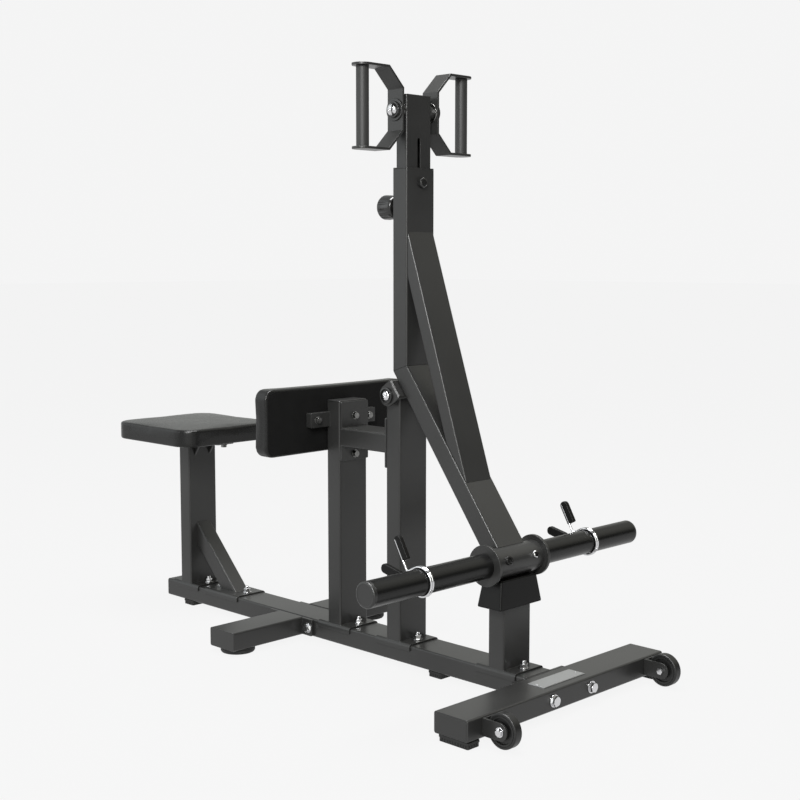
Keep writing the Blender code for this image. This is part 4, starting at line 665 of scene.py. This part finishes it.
badge_parts = []
for name, inset, top in (("badge_plate", 0.0, BADGE_TOP), ("badge_panel", BADGE_RIM, BADGE_TOP + BADGE_PANEL)):
    plate = block(name, (BADGE_X[0] + inset, BADGE_Y[0] + inset, BADGE_Z[0]),
                  (BADGE_X[1] - inset, BADGE_Y[1] - inset, BADGE_Z[1] + top))
    bevel_corners(plate, (0, 0, 1), BADGE_CORNER, segments=3)
    round_edges(plate, BADGE_EDGE)
    badge_parts.append(plate)
finish_piece(put_together(badge_parts, "blank_badge"), "frame", "chrome", aluminium)
rivet = turned_blank("badge_rivet", RIVET_PLACE, (0, 0, 1), RIVET_RADIUS, RIVET_RIM, sides=24)
shape_end(rivet, (0, 0, 1), dome(RIVET_RADIUS, RIVET_DOME, segments=4))
repeat(rivet, (0, RIVET_SPACING, 0), 2)
finish_piece(rivet, "frame", "chrome", aluminium)


# Transport wheels
# Two solid rubber wheels that touch the floor only when the machine is tipped forward. Each has a
# dished web and runs on a bolt through a welded bracket with a rounded nose.
WHEEL_AXLE = (0.65049, 0.0335)
WHEEL_MIDDLE = 0.243
WHEEL_HALF_WIDTH = 0.009
WHEEL_RADIUS = 0.032
WHEEL_ROUND = 0.0024
WHEEL_WEB_STEPS = [(0.0020, 0.0), (0.0003, -0.0008), (0.0007, 0.0), (0.0003, 0.0008), (0.0031, 0.0),
                   (0.0010, -0.0030), (0.0110, 0.0), (0.0008, 0.0037), (0.0030, 0.0)]
WHEEL_WASHER_FACE = 0.2571
WHEEL_WASHER_RADIUS = 0.0088
WHEEL_WASHER_WIDTH = 0.0016
TURNED_EDGE = 0.0004

tyre = grained_material("wheel_rubber", RUBBER_COLOUR, tone=0.10, patch=25.0, grain=1500.0, roughness=0.42,
                        spread=0.06, bump=0.12, depth=0.0002, specular=0.42)

for side, label in SIDES:
    coated_steel(f"wheel_bracket_{label}")
    dressed(f"wheel_axle_{label}", "frame", "chrome", chrome, TURNED_EDGE)
    washer = turned_blank(f"wheel_washer_{label}", (WHEEL_AXLE[0], side * WHEEL_WASHER_FACE, WHEEL_AXLE[1]),
                          (0, side, 0), WHEEL_WASHER_RADIUS, WHEEL_WASHER_WIDTH, sides=48)
    round_edges(washer, TURNED_EDGE)
    finish_piece(washer, "frame", "chrome", chrome)
    straight = 2 * (WHEEL_HALF_WIDTH - WHEEL_ROUND)
    start = (WHEEL_AXLE[0], side * WHEEL_MIDDLE - straight / 2, WHEEL_AXLE[1])
    wheel = turned_blank(f"wheel_{label}_rubber", start, (0, 1, 0), WHEEL_RADIUS, straight, sides=96)
    for way in (1, -1):
        shape_end(wheel, (0, way, 0), quarter_round(WHEEL_ROUND) + WHEEL_WEB_STEPS)
    finish_piece(wheel, f"wheel_{label}", "rubber", tyre, f"wheel_{label}")


# Seat post and brace
# The rear post is welded to a saddle that wraps the rail and is bolted through it. A square tube
# braces it from the front and ends in a saddle of its own.
SADDLE_TOP = 0.0556


def bolt_saddle(post, front, front_turn, rear, rear_turn):
    """The two nuts on a saddle, each at its station along the rail and turned as it was tightened."""
    for end, station, turn in (("front", front, front_turn), ("rear", rear, rear_turn)):
        fix(saddle_bolt, f"{post}_{end}_bolt", (station, 0, SADDLE_TOP), (0, 0, 1), turn=turn)


coated_steel("seat_post")
coated_steel("seat_brace")
bolt_saddle("seat_post", -0.5005, 10, -0.5755, 25)
bolt_saddle("brace", -0.3525, 35, -0.4472, 5)


# Seat
# A flat bar with four gussets carries a plywood board. Foam and black vinyl are stretched over
# the board and stapled underneath, so that the cushion is taut, with a low crown.
VINYL_COLOUR = (0.0062, 0.0062, 0.0060, 1)
BOARD_COLOUR = (0.0035, 0.0035, 0.0034, 1)
FOAM_VOXEL = 0.004
FOAM_PRESSURE = 3.0
FOAM_STEPS = 16
CROWN = 0.0030
FRONT_EDGE = 0.0030
BACK_EDGE = 0.0025
DRAW_IN = 0.0010
DRAW_START = 0.9
DRAW_BAND = 0.1
HELD_DEPTH = 0.010
POCKET_GAP = 0.0004
POCKET_REACH = 0.02
POCKET_CORNER = 0.004
GUSSET_FOOT = 0.001
GUSSET_EXTRA = 0.010
SEAT_BAR_UNDERSIDE = 0.4007
SEAT_BAR_STATIONS = (-0.4855, -0.4335, -0.5905, -0.6425)

bracket = welded_copy("seat_bracket")
foot_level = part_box("seat_bracket")[0].z + GUSSET_FOOT


def on_gusset_foot(edge):
    """Whether an edge is the lowest one of a gusset."""
    return all(bracket.data.vertices[index].co.z < foot_level for index in edge.vertices)


select_where(bracket, "EDGE", on_gusset_foot)
bpy.ops.transform.translate(value=(0, 0, -GUSSET_EXTRA))
bpy.ops.object.mode_set(mode="OBJECT")
round_edges(bracket, PLATE_EDGE)
finish_piece(bracket, "frame", "powder_coat", coat, "seat_bracket")
# The bolts under the seat bar take the darkened zinc, which is painted shade.
for index, station in enumerate(SEAT_BAR_STATIONS):
    fix(small_bolt, f"seat_bar_bolt_{index + 1}", (station, 0, SEAT_BAR_UNDERSIDE), (0, 0, -1),
        turn=20 * index, metal=shade_darkened_zinc)

board = grained_material("black_board", BOARD_COLOUR, tone=0.15, patch=30.0, grain=700.0, roughness=0.75,
                         spread=0.10, bump=0.35, depth=0.0004, specular=0.12)

# The vinyl has small leather cells on top of its soft creases.
vinyl = grained_material("black_vinyl", VINYL_COLOUR, tone=0.08, patch=10.0, grain=300.0, roughness=0.28,
                         spread=0.04, bump=0.10, depth=0.0006, specular=0.24)
tree = vinyl.node_tree
shader = tree.nodes["Principled BSDF"]
creases = tree.nodes["Bump"]
place = tree.nodes.new("ShaderNodeTexCoord")
cells = add_node(tree, "ShaderNodeTexVoronoi", Scale=850.0)
cells.feature = "SMOOTH_F1"
cells.inputs["Smoothness"].default_value = 0.6
leather = add_node(tree, "ShaderNodeBump", Strength=0.30, Distance=0.0004)
connect(tree, (place, "Object", cells, "Vector"), (cells, "Distance", leather, "Height"),
        (creases, "Normal", leather, "Normal"), (leather, "Normal", shader, "Normal"))


def draw_in(pad, low, high, others, corner):
    """Pull a cover's sides in a little between its corners."""
    middle = (low + high) / 2
    half = (high - low) / 2
    for vertex in pad.data.vertices:
        for first, second in (others, others[::-1]):
            share = min(1, abs(vertex.co[second] - middle[second]) / (half[second] - corner))
            reach = abs(vertex.co[first] - middle[first]) / half[first]
            if reach > DRAW_START:
                pull = DRAW_IN * math.cos(math.pi / 2 * share) * (reach - DRAW_START) / DRAW_BAND
                vertex.co[first] -= math.copysign(pull, vertex.co[first] - middle[first])


def inflate(pad, axis, back):
    """Let a cover puff up under the foam's pressure, held at its back, as far as its crown."""
    start = [vertex.co.copy() for vertex in pad.data.vertices]
    held = pad.vertex_groups.new(name="held")
    at_back = [vertex.index for vertex in pad.data.vertices if abs(vertex.co[axis] - back) < HELD_DEPTH]
    held.add(at_back, 1.0, "REPLACE")
    cover = pad.modifiers.new("cover", "CLOTH")
    cover.settings.quality = 6
    cover.settings.mass = 0.3
    cover.settings.tension_stiffness = 30
    cover.settings.compression_stiffness = 30
    cover.settings.shear_stiffness = 10
    cover.settings.bending_stiffness = 2
    cover.settings.use_pressure = True
    cover.settings.uniform_pressure_force = FOAM_PRESSURE
    cover.settings.vertex_group_mass = "held"
    cover.settings.effector_weights.gravity = 0
    cover.point_cache.frame_start = 1
    cover.point_cache.frame_end = FOAM_STEPS
    for step in range(1, FOAM_STEPS + 1):
        bpy.context.scene.frame_set(step)
    keep_modifiers(pad)
    bpy.context.scene.frame_set(1)
    rise = max((vertex.co - place).length for vertex, place in zip(pad.data.vertices, start))
    share = min(1, CROWN / rise)
    for vertex, place in zip(pad.data.vertices, start):
        vertex.co = place + (vertex.co - place) * share


def upholster(node, board_node, outwards, corner, border, spare, shift=(0, 0, 0)):
    """Foam and vinyl on a board: the cover is stretched over it and puffs up under pressure."""
    low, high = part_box(node)
    low = low + Vector(shift)
    high = high + Vector(shift)
    outwards = Vector(outwards)
    axis = max(range(3), key=lambda index: abs(outwards[index]))
    others = [index for index in range(3) if index != axis]
    along = [abs(value) for value in outwards]
    if outwards[axis] > 0:
        high[axis] -= CROWN
        face, back = high[axis], low[axis]
    else:
        low[axis] += CROWN
        face, back = low[axis], high[axis]
    for index in others:
        low[index] -= spare
        high[index] += spare
    pad = block(f"{node}_vinyl", low, high)
    bevel_corners(pad, along, corner, segments=10)
    for level, round_off, segments in ((face, FRONT_EDGE, 5), (back, BACK_EDGE, 3)):
        bevel_where(pad, lambda *ends: all(abs(end[axis] - level) < LEVEL for end in ends), round_off, segments)
    cells = pad.modifiers.new("cells", "REMESH")
    cells.mode = "VOXEL"
    cells.voxel_size = FOAM_VOXEL
    even = pad.modifiers.new("even", "SMOOTH")
    even.factor = 0.5
    even.iterations = 2
    keep_modifiers(pad)
    draw_in(pad, low, high, others, corner)
    inflate(pad, axis, back)
    finer = pad.modifiers.new("finer", "SUBSURF")
    finer.levels = 1
    finer.render_levels = 1
    keep_modifiers(pad)
    low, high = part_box(board_node)
    gap = Vector((POCKET_GAP, POCKET_GAP, POCKET_GAP))
    pocket = block("board_pocket", low - gap, high + gap)
    select_where(pocket, "FACE", lambda wall: wall.normal.dot(outwards) < -ALIGNED)
    bpy.ops.transform.translate(value=-outwards * POCKET_REACH)
    bpy.ops.object.mode_set(mode="OBJECT")
    bevel_corners(pocket, along, max(corner - border, POCKET_CORNER), segments=8)
    combine(pad, pocket, "DIFFERENCE")
    finish_piece(pad, "frame", "vinyl", vinyl, node, soft=True)


dressed("seat_board", "frame", "board", board, MOULDED_EDGE)
upholster("seat_cushion", "seat_board", (0, 0, 1), corner=0.044, border=0.024, spare=0.0038,
          shift=(-0.0030, 0, 0))


# Pad post
# The middle post carries the chest pad on a flat bar let into its rear face. It is open at the
# top and shut by a plastic cap, and its saddle is bolted to the rail.
coated_steel("pad_post")
dressed("pad_post_cap", "frame", "plastic", plastic)
bolt_saddle("pad_post", 0.0295, 15, -0.0385, 40)


# Chest pad
# The upright pad that the user leans against, of foam and vinyl on a board, like the seat. Two
# bolts hold it through the flat bar.
PAD_BAR_FACE = -0.0142
PAD_BOLT_ASIDE = 0.075
PAD_BOLT_HEIGHT = 0.4995

dressed("pad_board", "frame", "board", board, MOULDED_EDGE)
upholster("pad_cushion", "pad_board", (-1, 0, 0), corner=0.022, border=0.004, spare=0.0014)
# The pad's bolts take the darkened zinc, which paints in the shade by the pad post.
for side, label in SIDES:
    fix(small_bolt, f"pad_bar_bolt_{label}", (PAD_BAR_FACE, side * PAD_BOLT_ASIDE, PAD_BOLT_HEIGHT), (1, 0, 0),
        turn=8, metal=shade_darkened_zinc)


# Link beam
# A tube between the pad post and the lever post, welded to a plate at each end that is bolted to
# the posts. It keeps the two from spreading under the pull of the lever.
LINK_REAR_FACE = 0.0208
LINK_FRONT_FACE = 0.1502

coated_steel("link_beam")
# The link plates' bolts take the darkened zinc, which paints in the shade between the posts.
for label, station, height, way in (("rear_upper", LINK_REAR_FACE, 0.507, 1),
                                    ("rear_lower", LINK_REAR_FACE, 0.425, 1),
                                    ("front_upper", LINK_FRONT_FACE, 0.497, -1),
                                    ("front_lower", LINK_FRONT_FACE, 0.425, -1)):
    fix(small_bolt, f"link_plate_bolt_{label}", (station, 0, height), (way, 0, 0), turn=14, metal=shade_darkened_zinc)


# Lever post
# The front post holds the pivot's housing, a cross tube in which two plastic bushes carry the
# lever's bolt.
coated_steel("lever_post")
for label in ("left", "right"):
    dressed(f"pivot_bush_{label}", "frame", "plastic", plastic, TURNED_EDGE)
bolt_saddle("lever_post", 0.2075, 22, 0.1435, 3)


# Bumper
# A short post at the front carries a rubber block with sloping sides. The weight bar's sleeve
# comes down on it.
BUMPER_EDGE = 0.0016

moulding = grained_material("moulded_rubber", (0.0022, 0.0022, 0.0021, 1), tone=0.08, patch=14.0,
                            grain=1500.0, roughness=0.36, spread=0.06, bump=0.12, depth=0.0002, specular=0.18)

coated_steel("bumper_post")
dressed("bumper", "frame", "rubber", moulding, BUMPER_EDGE)
bolt_saddle("bumper_post", 0.4915, 28, 0.4185, 12)


# Lever
# One welded frame that swings: the upright that holds the handles, the arm that slopes down to
# the weight bar, and a brace of thinner tube across the bend.
for node in ("lever_upright", "lever_arm", "lever_brace"):
    coated_steel(node, "lever")


# Pivot
# A bent steel bracket welded behind the lever's bend clasps the housing. The pivot bolt passes
# through both cheeks, and its bright button heads each sit in a dark cup.
PIVOT_AXIS = Vector((0.17551, 0, 0.564))
CHEEK_EDGE = 0.0565
BEND_REACH = 0.028
BEND_ROUND = 0.0036
CUP_FACE = 0.0571
CUP_RADIUS = 0.0168
CUP_LENGTH = 0.0040
CUP_STEPS = [(0.0008, 0.0006), (0.0022, 0.0), (0.0006, -0.0036)]
BUTTON_RADIUS = 0.0100
BUTTON_RIM = 0.0012
BUTTON_DOME = 0.0058
BUTTON_SOCKET = [(0.0003, 0.0), (0.0003, -0.0032)]
BUTTON_SEAT = 0.0009
SHANK_RADIUS = 0.0078
SHANK_HALF = 0.0572


def on_bend(*ends):
    """Whether an edge runs down a bend, between a cheek and the bracket's back."""
    arms = [end - PIVOT_AXIS for end in ends]
    return all(abs(arm.y) > CHEEK_EDGE and math.hypot(arm.x, arm.z) > BEND_REACH for arm in arms)


bracket = welded_copy("pivot_bracket")
bevel_where(bracket, on_bend, BEND_ROUND, 1)
round_edges(bracket, PLATE_EDGE)
finish_piece(bracket, "lever", "powder_coat", coat, "pivot_bracket")

button = turned_blank("pivot_head", (0, 0, 0), (0, 0, 1), BUTTON_RADIUS, BUTTON_RIM)
shape_end(button, (0, 0, 1), dome(BUTTON_RADIUS, BUTTON_DOME, segments=8, flat=0.36) + BUTTON_SOCKET)
for side, label, node in ((1, "left", "pivot_nut"), (-1, "right", "pivot_bolt")):
    face = PIVOT_AXIS + Vector((0, side * CUP_FACE, 0))
    cup = turned_blank(f"pivot_collar_{label}", face, (0, side, 0), CUP_RADIUS, CUP_LENGTH)
    shape_end(cup, (0, side, 0), CUP_STEPS)
    finish_piece(cup, "lever", "plastic", gloss, node)
    fix(button, f"pivot_head_{label}", face + Vector((0, side * BUTTON_SEAT, 0)), (0, side, 0), "lever", turn=8)
shank = turned_blank("pivot_shank", PIVOT_AXIS - Vector((0, SHANK_HALF, 0)), (0, 1, 0), SHANK_RADIUS,
                     2 * SHANK_HALF, sides=48)
finish_piece(shank, "lever", "chrome", chrome)


# Weight bar and sleeve
# The arm ends in a flanged sleeve. The plate bar goes through it and is locked by a hex bolt on
# the left and a socket screw on the right, and its ends are shut by rounded plastic caps.
BAR_AXIS = Vector((0.45499, 0, 0.2613))
BAR_RADIUS = 0.02415
BAR_HALF = 0.380
BAR_EDGE = 0.0006
CAP_FACE = 0.3801
CAP_LENGTH = 0.0044
CAP_ROUND = 0.0035
CAP_DIMPLE = [(0.0010, 0.0), (0.0006, -0.0006)]
BARREL_HALF = 0.070
SLEEVE_RADIUS = 0.030
SLEEVE_HALF = 0.075
DISC_WIDTH = 0.007
DISC_RADIUS = 0.040
DISC_EDGE = 0.0010
LOCK_ANGLE = 18.5
SCREW_ASIDE = 0.0395
SCREW_SUNK = 0.001
SCREW_RADIUS = 0.0088
SCREW_LENGTH = 0.0066
SCREW_SOCKET = [(0.0010, 0.0007), (0.0030, 0.0), (0.0004, -0.0050)]
SCREW_EDGE = 0.0003

enamel = grained_material("black_enamel", (0.0035, 0.0035, 0.0034, 1), tone=0.08, patch=9.0, grain=900.0,
                          roughness=0.30, spread=0.05, bump=0.10, depth=0.0002, specular=0.26)

bar = turned_blank("weight_bar_coated", BAR_AXIS - Vector((0, BAR_HALF, 0)), (0, 1, 0), BAR_RADIUS,
                   2 * BAR_HALF, sides=96)
round_edges(bar, BAR_EDGE)
finish_piece(bar, "lever", "powder_coat", enamel, "weight_bar")

parts = [turned_blank("sleeve_barrel", BAR_AXIS - Vector((0, BARREL_HALF, 0)), (0, 1, 0), SLEEVE_RADIUS,
                      2 * BARREL_HALF, sides=96)]
for side, label in SIDES:
    inner_face = BAR_AXIS + Vector((0, side * (SLEEVE_HALF - DISC_WIDTH), 0))
    disc = turned_blank(f"sleeve_disc_{label}", inner_face, (0, side, 0), DISC_RADIUS, DISC_WIDTH, sides=96)
    round_edges(disc, DISC_EDGE)
    parts.append(disc)
finish_piece(put_together(parts, "bar_sleeve_coated"), "lever", "powder_coat", coat, "bar_sleeve")

for side, label in SIDES:
    start = BAR_AXIS + Vector((0, side * CAP_FACE, 0))
    cap = turned_blank(f"bar_cap_{label}_plastic", start, (0, side, 0), BAR_RADIUS, CAP_LENGTH, sides=96)
    shape_end(cap, (0, side, 0), quarter_round(CAP_ROUND) + CAP_DIMPLE)
    finish_piece(cap, "lever", "plastic", plastic, f"bar_cap_{label}")

lock_turn = math.radians(LOCK_ANGLE)
lock_way = Vector((math.cos(lock_turn), 0, math.sin(lock_turn)))
dressed("sleeve_lock_bolt", "lever", "chrome", chrome, TURNED_EDGE)
screw_place = BAR_AXIS + lock_way * (SLEEVE_RADIUS - SCREW_SUNK) + Vector((0, -SCREW_ASIDE, 0))
screw = turned_blank("sleeve_set_screw", screw_place, lock_way, SCREW_RADIUS, SCREW_LENGTH)
shape_end(screw, lock_way, SCREW_SOCKET)
round_edges(screw, SCREW_EDGE)
finish_piece(screw, "lever", "plastic", gloss)


# Handle post's guide and pull pin
# A plastic collar in the upright's mouth guides the inner post. A black stop bolt runs in the
# post's slot, and a spring pin with a fluted knob drops into its row of holes.
PIN_AXIS = Vector((0, 0, 0.94357))
GUIDE_EDGE = 0.0003
STOP_EDGE = 0.0005
HOUSING_FACE = 0.17423
HOUSING_RADIUS = 0.0110
HOUSING_LENGTH = 0.0240
HOUSING_RIM = 0.0008
KNOB_FACE = 0.1250
KNOB_RADIUS = 0.0254
KNOB_LENGTH = 0.0062
KNOB_ROUND = 0.0095
KNOB_DIMPLE = [(0.0030, 0.0), (0.0008, -0.0008)]
KNOB_NECK_STEPS = [(0.0006, 0.0060), (0.0010, 0.0080), (0.0010, 0.0060), (0.0014, 0.0030), (0.0024, 0.0016)]
KNOB_EDGE = 0.0006
FLUTE_COUNT = 10
FLUTE_START = 0.152
FLUTE_ASIDE = 0.0022
FLUTE_RADIUS = 0.0044
FLUTE_LENGTH = 0.0480
PIN_START = 0.1450
PIN_RADIUS = 0.0058
PIN_LENGTH = 0.0375
PIN_TIP = [(0.0008, 0.0007)]

dressed("post_guide_bush", "lever", "plastic", plastic, GUIDE_EDGE)
dressed("stop_bolt", "lever", "plastic", gloss, STOP_EDGE)
housing = turned_blank("pin_housing_nut", PIN_AXIS + Vector((HOUSING_FACE, 0, 0)), (-1, 0, 0), HOUSING_RADIUS,
                       HOUSING_LENGTH)
shape_end(housing, (-1, 0, 0), [(HOUSING_RIM, 0.0)])
round_edges(housing, KNOB_EDGE)
finish_piece(housing, "lever", "powder_coat", coat, "pin_housing")

knob = turned_blank("pull_knob_plastic", PIN_AXIS + Vector((KNOB_FACE, 0, 0)), (-1, 0, 0), KNOB_RADIUS,
                    KNOB_LENGTH, sides=96)
shape_end(knob, (-1, 0, 0), quarter_round(KNOB_ROUND, 7) + KNOB_DIMPLE)
shape_end(knob, (1, 0, 0), KNOB_NECK_STEPS)
flute = turned_blank("knob_flute", PIN_AXIS + Vector((FLUTE_START, 0, KNOB_RADIUS + FLUTE_ASIDE)), (-1, 0, 0),
                     FLUTE_RADIUS, FLUTE_LENGTH, sides=24)
flutes = [flute]
for index in range(1, FLUTE_COUNT):
    another = copied(flute, "knob_flute")
    turn = Matrix.Rotation(2 * math.pi * index / FLUTE_COUNT, 4, "X")
    another.matrix_world = Matrix.Translation(PIN_AXIS) @ turn @ Matrix.Translation(-PIN_AXIS)
    flutes.append(another)
combine(knob, put_together(flutes, "knob_flutes"), "DIFFERENCE")
round_edges(knob, KNOB_EDGE)
finish_piece(knob, "pull_pin", "plastic", gloss, "pull_knob")
pin = turned_blank("pull_pin_steel", PIN_AXIS + Vector((PIN_START, 0, 0)), (1, 0, 0), PIN_RADIUS, PIN_LENGTH,
                   sides=48)
shape_end(pin, (1, 0, 0), PIN_TIP)
finish_piece(pin, "pull_pin", "chrome", chrome)


# Handle post
# The inner tube that carries the handles, with a welded lid, a slot for the stop bolt, and a row
# of holes for the pin. Through its top goes the axle, with a black stepped disc and a bright dome
# nut on each side.
HANDLE_AXIS = Vector((0.19453, 0, 1.13127))
AXLE_FACE = 0.0528
AXLE_EDGE = 0.0010
AXLE_DISC_RADIUS = 0.022
AXLE_DISC_WIDTH = 0.0024
AXLE_CUP_RADIUS = 0.0165
AXLE_CUP_WIDTH = 0.0048
AXLE_CUP_RIM = 0.0014
AXLE_DOME_RADIUS = 0.0124
AXLE_DOME_HEIGHT = 0.0086
AXLE_DOME_RIM = 0.0016
AXLE_DOME_STEPS = dome(AXLE_DOME_RADIUS, AXLE_DOME_HEIGHT, segments=8, flat=0.24) + [
    (0.0002, 0.0), (0.0002, -0.0024)]
AXLE_DISC_STEPS = quarter_round(AXLE_EDGE, 3) + [
    (AXLE_DISC_RADIUS - AXLE_CUP_RADIUS - AXLE_CUP_RIM, 0.0), (0.0004, 0.0004), (0.0, AXLE_CUP_WIDTH - 0.0012),
    (0.0008, 0.0008), (AXLE_CUP_RADIUS - AXLE_DOME_RADIUS - AXLE_CUP_RIM, 0.0), (0.0004, -0.0010)]
STRAP_INNER_FACE = 0.0475
WASHER_GAP = 0.0003
WASHER_RADIUS = 0.0200
WASHER_WIDTH = 0.0016
WASHER_STEPS = [(0.0006, 0.0006), (0.0014, 0.0), (0.0006, -0.0006)]

coated_steel("handle_post", "handle_post")
# The inner washers between the straps and the post take the darkened zinc, which is painted shade.
for side, label, node in ((-1, "right", "handle_axle_bolt"), (1, "left", "handle_axle_nut")):
    face = HANDLE_AXIS + Vector((0, side * AXLE_FACE, 0))
    disc = turned_blank(f"axle_disc_{label}", face, (0, side, 0), AXLE_DISC_RADIUS, AXLE_DISC_WIDTH - AXLE_EDGE,
                        sides=96)
    shape_end(disc, (0, side, 0), AXLE_DISC_STEPS)
    finish_piece(disc, "handle_post", "plastic", gloss, node)
    seat_face = face + Vector((0, side * (AXLE_DISC_WIDTH + AXLE_CUP_WIDTH - AXLE_CUP_RIM), 0))
    bright = turned_blank(f"axle_dome_{label}", seat_face, (0, side, 0), AXLE_DOME_RADIUS, AXLE_DOME_RIM)
    shape_end(bright, (0, side, 0), AXLE_DOME_STEPS)
    finish_piece(bright, "handle_post", "chrome", chrome)
    washer_face = HANDLE_AXIS + Vector((0, side * (STRAP_INNER_FACE - WASHER_GAP), 0))
    washer = turned_blank(f"axle_washer_{label}", washer_face, (0, -side, 0), WASHER_RADIUS, WASHER_WIDTH,
                          sides=96)
    shape_end(washer, (0, -side, 0), WASHER_STEPS)
    finish_piece(washer, "handle_post", "chrome", shade_darkened_zinc)


# Handles
# Two bent steel straps that swivel on the axle. A round steel grip is welded between the flanges
# of each.
STRAP_EDGE = 0.0008
HANDLE_GRIP_RADIUS = 0.0125
HANDLE_GRIP_EDGE = 0.0005

grip_coat = grained_material("grip_powder_coat", (0.0160, 0.0160, 0.0156, 1), tone=0.08, patch=12.0,
                             grain=1400.0, roughness=0.50, spread=0.04, bump=0.05, depth=0.0002, specular=0.38)

for side, label in SIDES:
    coated_steel(f"handle_strap_{label}", f"handle_{label}", STRAP_EDGE)
    low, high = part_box(f"handle_grip_{label}")
    start = ((low.x + high.x) / 2, (low.y + high.y) / 2, low.z)
    grip = turned_blank(f"handle_grip_{label}_coated", start, (0, 0, 1), HANDLE_GRIP_RADIUS, high.z - low.z)
    round_edges(grip, HANDLE_GRIP_EDGE)
    finish_piece(grip, f"handle_{label}", "powder_coat", grip_coat, f"handle_grip_{label}")


# Spring collars
# One bright wire is wound round the bar, and a flat black plastic grip is moulded on each of its
# two arms, with the wire near one face. Squeezing the grips opens the coil.
WIRE_RADIUS = 0.00225
COIL_RADIUS = 0.02695
COIL_PITCH = 0.005
COIL_START = 120.0
COIL_SWEEP = 605.0
COIL_HALF_WIDTH = COIL_PITCH * COIL_SWEEP / 720
BEND_POINTS = 10
TURN_POINTS = 48
GRIP_START = 0.020
GRIP_LENGTH = 0.048
GRIP_WIDTH = 0.018
GRIP_THICKNESS = 0.010
GRIP_ASIDE = 0.0045
GRIP_ROUND = 0.0022
GRIP_TIP_FLAT = 0.0003
GRIP_TOUCH = 0.0001
WIRE_SUNK = 0.0019
# For each arm: its bend beside the bar, its angle and length, the bend's radius, where it leaves
# the coil, and the side that it is on.
ARMS = {"upper": ((-0.031, 0.014), 119.4, 0.063, 0.005, COIL_START, -1),
        "lower": ((-0.0352, -0.0083), 167.0, 0.066, 0.012, COIL_START - COIL_SWEEP, 1)}

grip_plastic = grained_material("moulded_black_plastic", (0.0024, 0.0024, 0.0023, 1), tone=0.06, patch=15.0,
                                grain=2200.0, roughness=0.42, spread=0.05, bump=0.12, depth=0.0002,
                                specular=0.14)


def rounded_bend(before, corner, after, radius):
    """Points of an arc between two straight stretches of wire."""
    first = (before - corner).normalized()
    second = (after - corner).normalized()
    half_angle = first.angle(second) / 2
    centre = corner + (first + second).normalized() * radius / math.sin(half_angle)
    leg = radius / math.tan(half_angle)
    start = corner + first * leg - centre
    end = corner + second * leg - centre
    turn = start.angle(end)
    points = []
    for step in range(BEND_POINTS + 1):
        share = step / BEND_POINTS
        mixed = start * math.sin((1 - share) * turn) + end * math.sin(share * turn)
        points.append(centre + mixed / math.sin(turn))
    return points


def collar_route():
    """The wire's middle line about the bar's axis, from grip to grip."""
    ends = []
    for corner, arm_angle, length, radius, coil_angle, side in ARMS.values():
        arm = Vector((math.cos(math.radians(arm_angle)), 0, math.sin(math.radians(arm_angle))))
        bend = Vector((corner[0], side * COIL_HALF_WIDTH, corner[1]))
        turn = math.radians(coil_angle)
        leave = Vector((COIL_RADIUS * math.cos(turn), side * COIL_HALF_WIDTH, COIL_RADIUS * math.sin(turn)))
        tip = bend + arm * length
        ends.append([tip] + rounded_bend(tip, bend, leave, radius))
    steps = round(COIL_SWEEP / 360 * TURN_POINTS)
    coil = []
    for step in range(steps + 1):
        turn = math.radians(COIL_START - COIL_SWEEP * step / steps)
        y = COIL_HALF_WIDTH * (2 * step / steps - 1)
        coil.append(Vector((COIL_RADIUS * math.cos(turn), y, COIL_RADIUS * math.sin(turn))))
    return ends[0] + coil + ends[1][::-1]


def across_tip(start, end):
    """Whether an edge runs across a grip's tip, through its thickness."""
    reach = GRIP_START + GRIP_LENGTH - GRIP_TOUCH
    return start.x > reach and end.x > reach and abs(start.z - end.z) < GRIP_TOUCH


for side, label, out in ((1, "left", 0.243), (-1, "right", 0.247)):
    wire = bpy.data.curves.new(f"collar_wire_{label}", "CURVE")
    wire.dimensions = "3D"
    wire.bevel_depth = WIRE_RADIUS
    wire.bevel_resolution = 4
    wire.use_fill_caps = True
    route = collar_route()
    spline = wire.splines.new("POLY")
    spline.points.add(len(route) - 1)
    for point, place in zip(spline.points, route):
        point.co = (*(BAR_AXIS + Vector((0, side * out, 0)) + place), 1)
    spring = bpy.data.objects.new(f"collar_spring_{label}_wire", wire)
    bpy.context.scene.collection.objects.link(spring)
    take(spring)
    bpy.ops.object.convert(target="MESH")
    finish_piece(bpy.context.object, f"collar_{label}", "chrome", chrome, f"collar_spring_{label}")
    for level, arm in ARMS.items():
        corner, arm_angle = arm[:2]
        y_side = arm[-1]
        low_y = -WIRE_SUNK if y_side < 0 else WIRE_SUNK - GRIP_THICKNESS
        grip = block(f"collar_grip_{level}_{label}_moulded",
                     (GRIP_START, low_y, -GRIP_ASIDE - GRIP_WIDTH / 2),
                     (GRIP_START + GRIP_LENGTH, low_y + GRIP_THICKNESS, -GRIP_ASIDE + GRIP_WIDTH / 2))
        bevel_where(grip, across_tip, GRIP_WIDTH / 2 - GRIP_TIP_FLAT, 8)
        round_edges(grip, GRIP_ROUND, segments=4)
        grip.location = BAR_AXIS + Vector((corner[0], side * out + y_side * COIL_HALF_WIDTH, corner[1]))
        grip.rotation_euler = (0, -math.radians(arm_angle), 0)
        finish_piece(grip, f"collar_{label}", "plastic", grip_plastic, f"collar_grip_{level}_{label}")

for master in (saddle_bolt, wide_bolt, flange_bolt, small_bolt, button):
    bpy.data.objects.remove(master)
